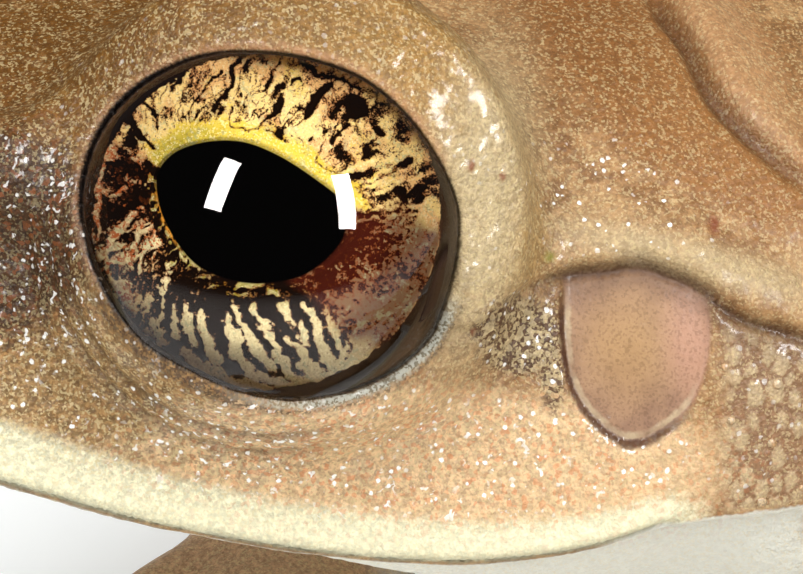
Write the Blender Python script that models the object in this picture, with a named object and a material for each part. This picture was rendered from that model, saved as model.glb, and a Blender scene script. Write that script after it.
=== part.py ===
"""A seated tree frog at life size, as one closed solid for each part of its body.

The frog faces -Y, its left side is +X and it rests on the plane z = 0. Every shape is
modelled in millimetres, and is written to its object in metres at the end. Parts that
meet keep a gap of 0.3 mm. The head has a frame of its own: its origin lies between the
corners of the mouth, on the line of the mouth, and the snout points along -Y there too.
"""

import math

import bmesh
import bpy
from mathutils import Matrix, Vector

MM = 0.001
GAP = 0.3
CUT_BACK = 1.15 * GAP
LEFT, RIGHT = 1, -1
SIDE_NAMES = {LEFT: "left", RIGHT: "right"}

# Head, in its own frame
HEAD_ORIGIN = Vector((0.0, -8.0, 9.5))
HEAD_PITCH_DEG = 8.0
SNOUT_LENGTH = 14.6
HEAD_REAR = 2.6
JAW_HALF_WIDTH = [(-14.6, 0.0), (-14.3, 1.35), (-13.5, 2.45), (-12.0, 3.7), (-10.0, 4.85),
                  (-7.5, 5.95), (-5.0, 6.75), (-2.5, 7.3), (0.0, 7.5), (2.6, 7.3)]
CROWN_HEIGHT = [(-14.6, 1.7), (-14.2, 2.8), (-13.2, 3.7), (-11.5, 4.6), (-9.0, 5.3),
                (-6.0, 5.8), (-3.0, 6.0), (0.0, 6.1), (2.6, 5.9)]
CHIN_DEPTH = [(-14.6, -0.75), (-14.2, -0.6), (-13.2, -0.35), (-11.5, 0.0), (-9.0, 0.45),
              (-6.0, 1.0), (-3.0, 2.0), (0.0, 3.1), (2.6, 3.9)]
CROWN_TAPER = [(-14.6, 0.20), (-9.0, 0.34), (-4.0, 0.30), (2.6, 0.10)]
CROWN_SQUARENESS = 3.0
CHIN_SQUARENESS = 1.9
CHIN_INSET = 0.3
MOUTH_LINE = [(-14.6, 1.15), (-12.0, 0.85), (-9.3, 0.5), (-7.2, 0.2), (-5.0, 0.04), (-3.3, 0.03),
              (-2.0, 0.16), (-1.0, 0.36), (0.2, 0.75), (2.6, 1.0)]
LIP_SWELL = 0.18
LIP_HEIGHT = 0.9

# Eyes
EYE_CENTRE = Vector((4.75, -5.6, 4.2))
EYE_RADIUS = 2.8
EYE_FORWARD_DEG = 22.0
EYE_UP_DEG = 27.0
APERTURE_DEPTH = 1.1
APERTURE_SIZE = (4.2, 4.2, 4.0)
LID_RADIUS = 3.55
LID_SHIFT = Vector((-0.35, 0.3, 0.25))

# Ears: the tympanum and the fold of skin over it
TYMPANUM_CENTRE = Vector((6.29, -0.35, 2.8))
TYMPANUM_FORWARD_DEG = 14.0
TYMPANUM_UP_DEG = 26.0
TYMPANUM_HALF_SIZE = (1.1, 1.27)
TYMPANUM_THICKNESS = 0.8
FOLD_ROUTE = [(5.72, -2.0, 3.55, 0.4), (5.5, -1.37, 3.96, 0.5), (5.52, -0.78, 4.16, 0.52),
              (5.64, -0.15, 4.24, 0.52), (5.86, 0.45, 4.12, 0.52), (6.2, 1.0, 3.8, 0.5),
              (6.48, 1.63, 3.4, 0.5), (6.7, 2.5, 2.92, 0.48)]

# Nostrils
NOSTRIL_PLACE = Vector((1.55, -13.1, 3.2))
NOSTRIL_SWELL = 0.6
NOSTRIL_RADIUS = 0.25
NOSTRIL_OFFSET = Vector((0.45, -0.2, 0.2))

# Torso stations: y, half width, height of the widest line, top, bottom
TORSO_STATIONS = [
    (-9.0, 6.9, 9.6, 15.2, 5.9),
    (-6.0, 7.2, 9.6, 15.3, 5.4),
    (-3.0, 7.1, 9.4, 15.3, 4.5),
    (0.0, 7.2, 8.8, 15.0, 3.2),
    (4.0, 7.5, 7.8, 14.5, 1.5),
    (8.0, 7.4, 6.9, 13.6, 0.2),
    (12.0, 6.5, 6.2, 11.9, -0.2),
    (16.0, 4.9, 5.3, 9.2, 0.5),
    (19.0, 3.1, 4.6, 6.9, 2.2),
    (20.8, 1.4, 4.2, 5.3, 3.2),
]
TORSO_SQUARENESS = 2.25

# Legs, for the left side: x, y, z, half width, half height
THIGH = [(3.6, 15.8, 6.2, 3.0, 3.1), (6.6, 12.2, 6.5, 3.2, 3.3), (10.4, 8.4, 6.4, 2.9, 3.0),
         (13.6, 5.4, 6.0, 2.3, 2.4), (15.8, 3.4, 5.6, 1.8, 1.9)]
SHANK = [(17.0, 2.4, 4.7, 1.6, 1.7), (16.8, 6.0, 4.3, 2.1, 2.2), (15.4, 11.0, 4.0, 2.2, 2.3),
         (13.2, 16.2, 3.6, 1.7, 1.8), (11.2, 20.2, 3.1, 1.3, 1.35), (10.2, 22.2, 2.8, 1.2, 1.2)]
TARSUS = [(10.4, 22.6, 1.6, 1.2, 1.15), (12.6, 20.4, 1.4, 1.2, 1.1), (15.4, 17.2, 1.3, 1.1, 1.0),
          (17.6, 14.6, 1.2, 1.15, 0.95)]
SOLE = [(17.7, 14.4, 1.15, 1.15, 0.85), (18.4, 12.2, 1.05, 1.6, 0.8), (19.1, 9.8, 0.9, 1.8, 0.7)]
FOOT_BASE = Vector((18.0, 13.6, 1.05))
TOE_ANGLES_DEG = (-14.0, 0.0, 13.0, 25.0, 44.0)
TOE_LENGTHS = (8.0, 10.8, 14.0, 18.0, 14.0)
WEB_REACH = 0.82
WEB_SCALLOP = 0.28
WEB_THICKNESS = 0.5

# Arms: x, y, z, half width, half height
UPPER_ARM = {
    LEFT: [(5.2, -3.4, 8.2, 1.7, 1.8), (7.6, -2.4, 7.2, 1.75, 1.8), (9.6, -0.8, 5.8, 1.5, 1.55),
           (10.9, 0.6, 4.7, 1.4, 1.4)],
    RIGHT: [(-5.2, -3.4, 8.2, 1.7, 1.8), (-7.6, -2.6, 7.2, 1.75, 1.8), (-9.4, -1.2, 5.8, 1.5, 1.55),
            (-10.6, 0.0, 4.7, 1.4, 1.4)],
}
FOREARM = {
    LEFT: [(11.2, 0.6, 4.1, 1.4, 1.4), (11.3, -2.0, 3.6, 1.7, 1.7), (11.0, -5.4, 2.7, 1.4, 1.35),
           (10.7, -8.2, 1.8, 1.05, 1.0)],
    RIGHT: [(-10.8, 0.1, 4.1, 1.4, 1.4), (-10.8, -2.4, 3.6, 1.7, 1.7), (-10.2, -5.4, 2.7, 1.4, 1.35),
            (-9.4, -7.8, 1.8, 1.05, 1.0)],
}
PALM = {
    LEFT: [(10.7, -8.6, 1.5, 1.05, 0.95), (10.6, -10.2, 1.2, 1.5, 0.85), (10.5, -12.0, 1.0, 1.8, 0.75)],
    RIGHT: [(-9.1, -8.1, 1.5, 1.05, 0.95), (-7.8, -8.9, 1.2, 1.5, 0.85), (-6.2, -9.6, 1.0, 1.8, 0.75)],
}
HAND_BASE = {LEFT: Vector((10.6, -9.8, 1.2)), RIGHT: Vector((-8.0, -8.8, 1.2))}
HAND_TURN_DEG = {LEFT: -6.0, RIGHT: -68.0}
FINGER_ANGLES_DEG = (-44.0, -14.0, 10.0, 42.0)
FINGER_LENGTHS = (5.6, 7.2, 9.8, 8.0)

# Digits: share of the length, height of the axis, radius
DIGIT_PROFILE = [(0.0, 1.15, 0.62), (0.35, 1.0, 0.60), (0.55, 0.85, 0.52), (0.75, 0.66, 0.55),
                 (0.92, 0.50, 0.46)]
DISC_HALF_SIZE = {"finger": (1.02, 1.1, 0.5), "toe": (0.85, 0.95, 0.46)}
DISC_AXIS_HEIGHT = 0.42


def material(name, colour, roughness):
    """A plain finish for one part of the body."""
    made = bpy.data.materials.new(name)
    made.use_nodes = True
    shader = made.node_tree.nodes["Principled BSDF"]
    shader.inputs["Base Color"].default_value = (*colour, 1.0)
    shader.inputs["Roughness"].default_value = roughness
    shader.inputs["Metallic"].default_value = 0.0
    return made


def smooth_value(keys, x):
    """The value at x of a smooth curve through keys, which are (x, value) in rising order."""
    if x <= keys[0][0]:
        return keys[0][1]
    if x >= keys[-1][0]:
        return keys[-1][1]
    last = len(keys) - 1
    i = max(k for k in range(last) if keys[k][0] <= x)
    (x0, y0), (x1, y1) = keys[i], keys[i + 1]
    before, after = keys[max(i - 1, 0)], keys[min(i + 2, last)]
    slope0 = (y1 - before[1]) / (x1 - before[0])
    slope1 = (after[1] - y0) / (after[0] - x0)
    span = x1 - x0
    t = (x - x0) / span
    return (y0 * (1 + 2 * t) * (1 - t) ** 2 + y1 * t * t * (3 - 2 * t)
            + span * (slope0 * t * (1 - t) ** 2 - slope1 * t * t * (1 - t)))


def smooth_rows(rows, steps):
    """Rows of numbers, with steps new rows between each two, on a smooth curve through them all."""
    columns = list(zip(*rows))
    keys = [[(float(i), value) for i, value in enumerate(column)] for column in columns]
    count = (len(rows) - 1) * steps
    return [[smooth_value(key, i / steps) for key in keys] for i in range(count + 1)]


def new_object(name, mesh):
    made = bpy.data.objects.new(name, mesh)
    bpy.context.scene.collection.objects.link(made)
    return made


def skinned(name, rings):
    """A closed body over rings of points, each ring a list of the same length, with flat ends."""
    body = bmesh.new()
    loops = [[body.verts.new(point) for point in ring] for ring in rings]
    count = len(rings[0])
    for near, far in zip(loops, loops[1:]):
        for i in range(count):
            j = (i + 1) % count
            body.faces.new((near[i], near[j], far[j], far[i]))
    body.faces.new(list(reversed(loops[0])))
    body.faces.new(loops[-1])
    bmesh.ops.triangulate(body, faces=body.faces)
    bmesh.ops.recalc_face_normals(body, faces=body.faces)
    mesh = bpy.data.meshes.new(name)
    body.to_mesh(mesh)
    body.free()
    return new_object(name, mesh)


def ball(name, centre, half_sizes, turn=None, segments=16, rings=10):
    """An ellipsoid, its half sizes along X, Y and Z before it is turned."""
    body = bmesh.new()
    bmesh.ops.create_uvsphere(body, u_segments=segments, v_segments=rings, radius=1.0)
    place = Matrix.Translation(centre) @ (turn or Matrix.Identity(4)) @ Matrix.Diagonal((*half_sizes, 1.0))
    body.transform(place)
    mesh = bpy.data.meshes.new(name)
    body.to_mesh(mesh)
    body.free()
    return new_object(name, mesh)


def box(name, low, high):
    """A box between two corners."""
    body = bmesh.new()
    size, centre = Vector(high) - Vector(low), (Vector(high) + Vector(low)) / 2
    bmesh.ops.create_cube(body, size=1.0, matrix=Matrix.Translation(centre) @ Matrix.Diagonal((*size, 1.0)))
    mesh = bpy.data.meshes.new(name)
    body.to_mesh(mesh)
    body.free()
    return new_object(name, mesh)


def drum(name, place, half_sizes, segments=24):
    """An elliptical cylinder about the local Z of place, its half sizes along X, Y and Z."""
    body = bmesh.new()
    bmesh.ops.create_cone(body, cap_ends=True, segments=segments, radius1=1.0, radius2=1.0, depth=2.0)
    body.transform(place @ Matrix.Diagonal((*half_sizes, 1.0)))
    bmesh.ops.recalc_face_normals(body, faces=body.faces)
    mesh = bpy.data.meshes.new(name)
    body.to_mesh(mesh)
    body.free()
    return new_object(name, mesh)


def limb(name, rows, sides=14, steps=2, rounded=0.75):
    """A tube with elliptical rings along rows of (x, y, z, half width, half height), with domed ends."""
    path = smooth_rows(rows, steps)
    points = [Vector(row[:3]) for row in path]
    rings = []
    last = len(path) - 1
    for i, row in enumerate(path):
        along = (points[min(i + 1, last)] - points[max(i - 1, 0)]).normalized()
        across = along.cross(Vector((0, 0, 1))).normalized()
        over = across.cross(along).normalized()
        caps = [(0.0, 1.0)]
        if i == 0:
            caps = [(-rounded, 0.35), (-0.72 * rounded, 0.72)] + caps
        if i == last:
            caps = caps + [(0.72 * rounded, 0.72), (rounded, 0.35)]
        for shift, share in caps:
            centre = points[i] + along * shift * row[4]
            rings.append([
                centre + across * row[3] * share * math.cos(angle) + over * row[4] * share * math.sin(angle)
                for angle in (2 * math.pi * k / sides for k in range(sides))
            ])
    return skinned(name, rings)


def keep_largest(obj):
    """Leaves only the largest closed surface of a mesh."""
    body = bmesh.new()
    body.from_mesh(obj.data)
    unseen, shells = set(body.verts), []
    while unseen:
        start = unseen.pop()
        shell, front = {start}, [start]
        while front:
            for edge in front.pop().link_edges:
                for vertex in edge.verts:
                    if vertex in unseen:
                        unseen.remove(vertex)
                        shell.add(vertex)
                        front.append(vertex)
        shells.append(shell)
    shells.sort(key=len)
    loose = [vertex for shell in shells[:-1] for vertex in shell]
    bmesh.ops.delete(body, geom=loose, context="VERTS")
    body.to_mesh(obj.data)
    body.free()


def apply_boolean(obj, operation, other=None, others=None):
    """Applies one Boolean with an object, or with a collection of them, and removes what it used."""
    modifier = obj.modifiers.new(operation.lower(), "BOOLEAN")
    modifier.operation = operation
    modifier.solver = "MANIFOLD"
    if others is None:
        used = [other]
        modifier.object = other
    else:
        used = list(others)
        group = bpy.data.collections.new("pieces")
        bpy.context.scene.collection.children.link(group)
        for piece in used:
            group.objects.link(piece)
            bpy.context.scene.collection.objects.unlink(piece)
        modifier.operand_type = "COLLECTION"
        modifier.collection = group
    bpy.context.view_layer.update()
    evaluated = obj.evaluated_get(bpy.context.evaluated_depsgraph_get())
    result = bpy.data.meshes.new_from_object(evaluated)
    obj.modifiers.clear()
    obj.data = result
    for piece in used:
        bpy.data.objects.remove(piece)
    if others is not None:
        bpy.data.collections.remove(group)


def fuse(name, pieces):
    """One closed body from several that overlap."""
    whole, rest = pieces[0], pieces[1:]
    whole.name = name
    apply_boolean(whole, "UNION", others=rest)
    keep_largest(whole)
    return whole


def grown(obj, distance):
    """A copy of a body, with its surface moved outwards."""
    copy = new_object("cutter", obj.data.copy())
    body = bmesh.new()
    body.from_mesh(copy.data)
    body.normal_update()
    moves = [(vertex, vertex.normal * distance) for vertex in body.verts]
    for vertex, move in moves:
        vertex.co += move
    body.to_mesh(copy.data)
    body.free()
    return copy


def clear_of(obj, neighbours):
    """Cuts a body back from its neighbours, so that the gap is left between them."""
    for neighbour in neighbours:
        apply_boolean(obj, "DIFFERENCE", other=grown(neighbour, CUT_BACK))
    keep_largest(obj)
    return obj


def stand_on_floor(obj):
    """Cuts off what lies under the floor, which leaves flats to rest on."""
    reach = 60.0
    apply_boolean(obj, "DIFFERENCE", other=box("cutter", (-reach, -reach, -reach), (reach, reach, 0.0)))
    keep_largest(obj)
    return obj


def head_matrix():
    """Head frame to world frame, in millimetres."""
    return Matrix.Translation(HEAD_ORIGIN) @ Matrix.Rotation(-math.radians(HEAD_PITCH_DEG), 4, "X")


def facing(centre, side, forward_deg, up_deg):
    """A place on the head whose local Z looks outwards, its X forwards and its Y up."""
    forward, up = math.radians(forward_deg), math.radians(up_deg)
    out = Vector((side * math.cos(up) * math.cos(forward), -math.cos(up) * math.sin(forward), math.sin(up)))
    ahead = Vector((0, 0, 1)).cross(out).normalized() * -side
    rise = out.cross(ahead).normalized() * side
    axes = Matrix((ahead * side, rise, out)).transposed()
    mirrored = Vector((side * centre[0], centre[1], centre[2]))
    return Matrix.Translation(mirrored) @ axes.to_4x4()


def mirrored_point(point, side):
    return Vector((side * point[0], point[1], point[2]))


def mouth_height(y):
    """Height of the line of the mouth, which dips under the eye."""
    return smooth_value(MOUTH_LINE, y)


def head_ring_places(count):
    """Places along the head from rear to snout tip, closer together where the snout rounds off."""
    span = HEAD_REAR + SNOUT_LENGTH
    ahead = [span * math.sin(0.5 * math.pi * k / count) for k in range(count)]
    return [HEAD_REAR - distance for distance in ahead] + [0.02 - SNOUT_LENGTH]


def cranium_ring(y, count):
    """Half a ring of the upper head: over the crown from lip to lip, then back along the mouth's roof."""
    width = max(smooth_value(JAW_HALF_WIDTH, y), 0.12)
    floor = mouth_height(y) + GAP / 2
    height = max(smooth_value(CROWN_HEIGHT, y) - floor, 0.3)
    taper = smooth_value(CROWN_TAPER, y)
    ring = []
    for k in range(count):
        angle = math.pi * k / (count - 1)
        across = math.copysign(abs(math.cos(angle)) ** (2 / CROWN_SQUARENESS), math.cos(angle))
        rise = abs(math.sin(angle)) ** (2 / CROWN_SQUARENESS)
        z = floor + height * rise
        swell = LIP_SWELL * math.exp(-((z - floor) / LIP_HEIGHT) ** 2)
        half = width * (1 - taper * rise) + min(swell, 0.2 * width)
        ring.append(Vector((half * across, y, z)))
    return ring


def chin_ring(y, count):
    """Half a ring of the lower jaw: under the chin from side to side, then back along the mouth."""
    width = max(smooth_value(JAW_HALF_WIDTH, y) - CHIN_INSET, 0.1)
    roof = mouth_height(y) - GAP / 2
    depth = max(smooth_value(CHIN_DEPTH, y) + roof, 0.25)
    ring = []
    for k in range(count):
        angle = math.pi * k / (count - 1)
        across = math.copysign(abs(math.cos(angle)) ** (2 / CHIN_SQUARENESS), math.cos(angle))
        ring.append(Vector((width * across, y, roof - depth * abs(math.sin(angle)) ** (2 / CHIN_SQUARENESS))))
    return ring


def make_head():
    """The upper head with its lids, nostrils and a fold over each ear, and hollows for eyes and ears."""
    places = head_ring_places(18)
    pieces = [skinned("head", [cranium_ring(y, 27) for y in places])]
    for side in SIDE_NAMES:
        lid_centre = mirrored_point(EYE_CENTRE + LID_SHIFT, side)
        pieces.append(ball("lid", lid_centre, (LID_RADIUS,) * 3, segments=24, rings=14))
        pieces.append(ball("nostril", mirrored_point(NOSTRIL_PLACE, side), (NOSTRIL_SWELL,) * 3,
                           segments=10, rings=6))
        rows = [(side * x, y, z, size, size) for x, y, z, size in FOLD_ROUTE]
        pieces.append(limb("fold", rows, sides=8, steps=2))
    head = fuse("head", pieces)
    for side in SIDE_NAMES:
        eye = facing(EYE_CENTRE, side, EYE_FORWARD_DEG, EYE_UP_DEG)
        socket = ball("cutter", eye.translation, (EYE_RADIUS + GAP,) * 3, segments=24, rings=14)
        apply_boolean(head, "DIFFERENCE", other=socket)
        outward = Matrix.Translation((0, 0, APERTURE_DEPTH + APERTURE_SIZE[2]))
        opening = drum("cutter", eye @ outward, APERTURE_SIZE)
        apply_boolean(head, "DIFFERENCE", other=opening)
        ear = facing(TYMPANUM_CENTRE, side, TYMPANUM_FORWARD_DEG, TYMPANUM_UP_DEG)
        half = TYMPANUM_THICKNESS / 2
        sizes = (TYMPANUM_HALF_SIZE[0] + GAP, TYMPANUM_HALF_SIZE[1] + GAP, TYMPANUM_THICKNESS + 2.0)
        recess = drum("cutter", ear @ Matrix.Translation((0, 0, 2.0 + half - GAP)), sizes)
        apply_boolean(head, "DIFFERENCE", other=recess)
        pit = mirrored_point(NOSTRIL_PLACE + NOSTRIL_OFFSET, side)
        nostril = ball("cutter", pit, (NOSTRIL_RADIUS,) * 3, segments=8, rings=5)
        apply_boolean(head, "DIFFERENCE", other=nostril)
    reach = 30.0
    rear = box("cutter", (-reach, HEAD_REAR, -reach), (reach, reach, reach))
    apply_boolean(head, "DIFFERENCE", other=rear)
    keep_largest(head)
    return head


def make_lower_jaw():
    """The lower jaw and the throat."""
    return skinned("lower_jaw", [chin_ring(y, 21) for y in head_ring_places(14)])


def make_eye(side):
    """One eyeball with its clear front."""
    eye = facing(EYE_CENTRE, side, EYE_FORWARD_DEG, EYE_UP_DEG)
    return ball(f"eye_{SIDE_NAMES[side]}", eye.translation, (EYE_RADIUS,) * 3, segments=24, rings=14)


def make_tympanum(side):
    """One eardrum, a thick disc that lies in its recess."""
    ear = facing(TYMPANUM_CENTRE, side, TYMPANUM_FORWARD_DEG, TYMPANUM_UP_DEG)
    sizes = (*TYMPANUM_HALF_SIZE, TYMPANUM_THICKNESS / 2)
    return drum(f"tympanum_{SIDE_NAMES[side]}", ear, sizes)


def make_torso():
    """The trunk from the neck to the vent."""
    rings = []
    count = 32
    for y, width, middle, top, bottom in smooth_rows(TORSO_STATIONS, 2):
        ring = []
        for k in range(count):
            angle = 2 * math.pi * k / count
            across = math.copysign(abs(math.cos(angle)) ** (2 / TORSO_SQUARENESS), math.cos(angle))
            rise = math.copysign(abs(math.sin(angle)) ** (2 / TORSO_SQUARENESS), math.sin(angle))
            height = (top - middle) if rise > 0 else (middle - bottom)
            ring.append(Vector((width * across, y, middle + height * rise)))
        rings.append(ring)
    torso = skinned("torso", rings)
    reach = 30.0
    neck = box("cutter", (-reach, -reach, -reach), (reach, HEAD_REAR + GAP, reach))
    neck.data.transform(head_matrix())
    apply_boolean(torso, "DIFFERENCE", other=neck)
    return stand_on_floor(torso)


def digit(name, base, angle_deg, length, side, kind):
    """One finger or toe and its disc, from a base point out along an angle from straight ahead."""
    angle = math.radians(angle_deg)
    ahead = Vector((side * math.sin(angle), -math.cos(angle), 0))
    rows = []
    for share, height, radius in DIGIT_PROFILE:
        place = base + ahead * length * share
        rows.append((place.x, place.y, height, radius, radius * 0.92))
    across, along, high = DISC_HALF_SIZE[kind]
    tip = base + ahead * (length - along)
    tip.z = DISC_AXIS_HEIGHT
    turn = Matrix.Rotation(side * angle, 4, "Z")
    disc = ball(f"{name}_disc", tip, (across, along, high), turn, segments=12, rings=6)
    return [limb(name, rows, sides=6, steps=1), disc]


def web(name, base, toes, side):
    """The web between toes, each (angle, length): one thin sheet with an edge hollowed between them."""
    steps_between, along_steps = 6, 4
    rings = []
    for i in range(steps_between * (len(toes) - 1) + 1):
        toe = min(i // steps_between, len(toes) - 2)
        share = i / steps_between - toe
        (angle0, length0), (angle1, length1) = toes[toe], toes[toe + 1]
        angle = math.radians(angle0 + (angle1 - angle0) * share)
        shorter = min(length0, length1)
        near, far = min(length0, 1.3 * shorter), min(length1, 1.3 * shorter)
        reach = WEB_REACH * (near + (far - near) * share)
        reach *= 1 - WEB_SCALLOP * math.sin(math.pi * share)
        ahead = Vector((side * math.sin(angle), -math.cos(angle), 0))
        upper, lower = [], []
        for j in range(along_steps + 1):
            out = 0.1 + 0.9 * j / along_steps
            place = base + ahead * reach * out
            height = 0.93 - 0.42 * out
            upper.append(Vector((place.x, place.y, height + WEB_THICKNESS / 2)))
            lower.append(Vector((place.x, place.y, height - WEB_THICKNESS / 2)))
        rings.append(upper + list(reversed(lower)))
    return skinned(name, rings)


def make_hand(side):
    """The palm and four fingers of one hand."""
    rows = PALM[side]
    pieces = [limb("palm", rows, sides=12, steps=1)]
    for i, (angle, length) in enumerate(zip(FINGER_ANGLES_DEG, FINGER_LENGTHS)):
        turned = angle + HAND_TURN_DEG[side]
        pieces += digit(f"finger_{i + 1}", HAND_BASE[side], turned, length, side, "finger")
    return stand_on_floor(fuse(f"hand_{SIDE_NAMES[side]}", pieces))


def make_foot(side):
    """The sole, five toes and the webs between them."""
    base = mirrored_point(FOOT_BASE, side)
    pieces = [limb("sole", [(side * x, y, z, a, b) for x, y, z, a, b in SOLE], sides=12, steps=1)]
    toes = list(zip(TOE_ANGLES_DEG, TOE_LENGTHS))
    for i, (angle, length) in enumerate(toes):
        pieces += digit(f"toe_{i + 1}", base, angle, length, side, "toe")
    pieces.append(web("web", base, toes, side))
    return stand_on_floor(fuse(f"foot_{SIDE_NAMES[side]}", pieces))


def make_leg(side, torso):
    """Thigh, shank, tarsus and foot of one side, each cut clear of what it folds against."""
    tag = SIDE_NAMES[side]
    rows = {name: [(side * x, y, z, a, b) for x, y, z, a, b in table]
            for name, table in (("thigh", THIGH), ("shank", SHANK), ("tarsus", TARSUS))}
    thigh = clear_of(limb(f"thigh_{tag}", rows["thigh"], sides=16), [torso])
    shank = clear_of(limb(f"shank_{tag}", rows["shank"], sides=14), [thigh, torso])
    tarsus = clear_of(limb(f"tarsus_{tag}", rows["tarsus"], sides=12), [shank])
    stand_on_floor(tarsus)
    foot = clear_of(make_foot(side), [tarsus, shank])
    return [thigh, shank, tarsus, foot]


def make_arm(side, torso, jaw):
    """Upper arm, forearm and hand of one side."""
    tag = SIDE_NAMES[side]
    upper = clear_of(limb(f"upper_arm_{tag}", UPPER_ARM[side], sides=14), [torso, jaw])
    fore = clear_of(limb(f"forearm_{tag}", FOREARM[side], sides=12), [upper, torso])
    hand = clear_of(make_hand(side), [fore])
    return [upper, fore, hand]


def centre_over_origin(objects):
    """Moves all the parts together, so that the middle of their shared box is over the origin."""
    points = [vertex.co for obj in objects for vertex in obj.data.vertices]
    spans = [sorted(point[axis] for point in points) for axis in (0, 1)]
    middle = [(span[0] + span[-1]) / 2 for span in spans]
    for obj in objects:
        obj.data.transform(Matrix.Translation((-middle[0], -middle[1], 0.0)))


def finish(obj, coat):
    """Gives a part its material and smooth shading, and turns millimetres to metres."""
    obj.data.transform(Matrix.Scale(MM, 4))
    obj.data.materials.clear()
    obj.data.materials.append(coat)
    obj.data.shade_smooth()
    obj.data.set_sharp_from_angle(angle=math.radians(40))


def main():
    for obj in list(bpy.data.objects):
        bpy.data.objects.remove(obj)
    brown = material("brown_skin", (0.36, 0.22, 0.09), 0.42)
    cream = material("cream_skin", (0.72, 0.66, 0.48), 0.45)
    drumskin = material("tympanum_skin", (0.50, 0.34, 0.24), 0.4)
    eyeball = material("eye", (0.45, 0.28, 0.05), 0.05)

    head, jaw = make_head(), make_lower_jaw()
    ears = [make_tympanum(side) for side in SIDE_NAMES]
    eyes = [make_eye(side) for side in SIDE_NAMES]
    for piece in [head, jaw, *ears, *eyes]:
        piece.data.transform(head_matrix())
    torso = make_torso()
    limbs = []
    for side in SIDE_NAMES:
        limbs += make_leg(side, torso)
        limbs += make_arm(side, torso, jaw)

    centre_over_origin([head, jaw, torso, *ears, *eyes, *limbs])
    for piece in [head, torso, *limbs]:
        finish(piece, brown)
    finish(jaw, cream)
    for piece in ears:
        finish(piece, drumskin)
    for piece in eyes:
        finish(piece, eyeball)


if __name__ == "__main__":
    main()
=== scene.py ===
"""Looks for a seated tree frog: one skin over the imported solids, two layered eyes, and a pale studio.

The frog's anatomy is a field of signed distances, built from the same named sizes as the
solids. The skin is drawn from that field, made finer towards the face, and given masks that
its material reads. All arrays are in millimetres, and meshes are written in metres.
"""

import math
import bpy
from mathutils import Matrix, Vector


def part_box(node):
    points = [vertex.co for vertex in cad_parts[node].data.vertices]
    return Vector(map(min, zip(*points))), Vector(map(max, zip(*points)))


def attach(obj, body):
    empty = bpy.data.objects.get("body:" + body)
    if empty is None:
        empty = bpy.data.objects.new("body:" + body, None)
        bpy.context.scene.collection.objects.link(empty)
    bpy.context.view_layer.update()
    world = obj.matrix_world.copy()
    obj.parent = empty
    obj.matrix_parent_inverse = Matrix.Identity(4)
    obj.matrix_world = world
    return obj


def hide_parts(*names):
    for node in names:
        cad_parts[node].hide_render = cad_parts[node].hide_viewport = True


bl_info = {
    "name": "Seated tree frog",
    "version": (1, 0, 0),
    "blender": (4, 5, 0),
    "location": "View3D > Sidebar > Tree frog",
    "description": "Dresses the solids of a seated tree frog with skin, eyes, light and a camera",
    "category": "Object",
}

import bpy
import numpy as np
from bpy.props import FloatProperty, FloatVectorProperty, IntProperty, PointerProperty
from mathutils import Matrix, Vector

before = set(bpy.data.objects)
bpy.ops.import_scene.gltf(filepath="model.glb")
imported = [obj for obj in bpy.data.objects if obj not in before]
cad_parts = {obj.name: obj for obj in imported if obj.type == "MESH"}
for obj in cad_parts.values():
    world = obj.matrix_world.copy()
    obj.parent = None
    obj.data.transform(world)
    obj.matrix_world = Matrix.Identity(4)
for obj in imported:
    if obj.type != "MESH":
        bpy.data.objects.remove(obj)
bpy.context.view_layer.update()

MM = 0.001
ROOT = "root"
FLOOR_LEVEL = 0.0

# Head, in a frame of its own: +X left, -Y ahead, +Z up, origin between the corners of the mouth
HEAD_ORIGIN = np.array([0.0, -8.0, 9.5])
HEAD_PITCH_DEG = 8.0
SNOUT_LENGTH = 14.6
JAW_HALF_WIDTH = [(-14.6, 0.0), (-14.3, 1.35), (-13.5, 2.45), (-12.0, 3.7), (-10.0, 4.85),
                  (-7.5, 5.95), (-5.0, 6.75), (-2.5, 7.3), (0.0, 7.5), (2.6, 7.3), (6.0, 6.9)]
CROWN_HEIGHT = [(-14.6, 1.7), (-14.2, 2.8), (-13.2, 3.7), (-11.5, 4.6), (-9.0, 5.3),
                (-6.0, 5.8), (-3.0, 6.0), (0.0, 6.1), (2.6, 5.9), (6.0, 5.2)]
CHIN_DEPTH = [(-14.6, -0.75), (-14.2, -0.6), (-13.2, -0.35), (-11.5, 0.0), (-9.0, 0.45),
              (-6.0, 1.0), (-3.0, 2.0), (0.0, 3.1), (2.6, 3.9), (6.0, 4.2)]
CROWN_TAPER = [(-14.6, 0.20), (-9.0, 0.34), (-4.0, 0.30), (2.6, 0.10), (6.0, 0.05)]
MOUTH_LINE = [(-14.6, 1.15), (-12.0, 0.85), (-9.3, 0.5), (-7.2, 0.2), (-5.0, 0.04), (-3.3, 0.03),
              (-2.0, 0.16), (-1.0, 0.36), (0.2, 0.75), (2.6, 1.0), (6.0, 1.1)]
CROWN_SQUARENESS = 3.0
CHIN_SQUARENESS = 1.9
CHIN_INSET = 0.3
LIP_SWELL = 0.18
LIP_HEIGHT = 0.9

# Eyes and lids
EYE_CENTRE = np.array([4.75, -5.6, 4.2])
EYE_FORWARD_DEG = 22.0
EYE_UP_DEG = 27.0
CORNEA_RADIUS = 2.85
LID_RADIUS = 3.5
LID_SHIFT = np.array([-0.30, 0.30, 0.20])
# The lids end at a surface round the eye's axis, which falls away from their rim and rises beyond them
LID_RIM_REACH = 2.55
LID_FALL = 0.46
LID_RISE = 0.8
LID_RISE_START = 3.5
LID_RISE_SOFTNESS = 0.15
LID_TOP_BLEND = 0.6
# The lid joins the skull softly, and the opening for the eye is cut with a small rounding
LID_BLEND = 1.1
OPENING_DEPTH = 0.6
OPENING_BLEND = 0.22
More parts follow.
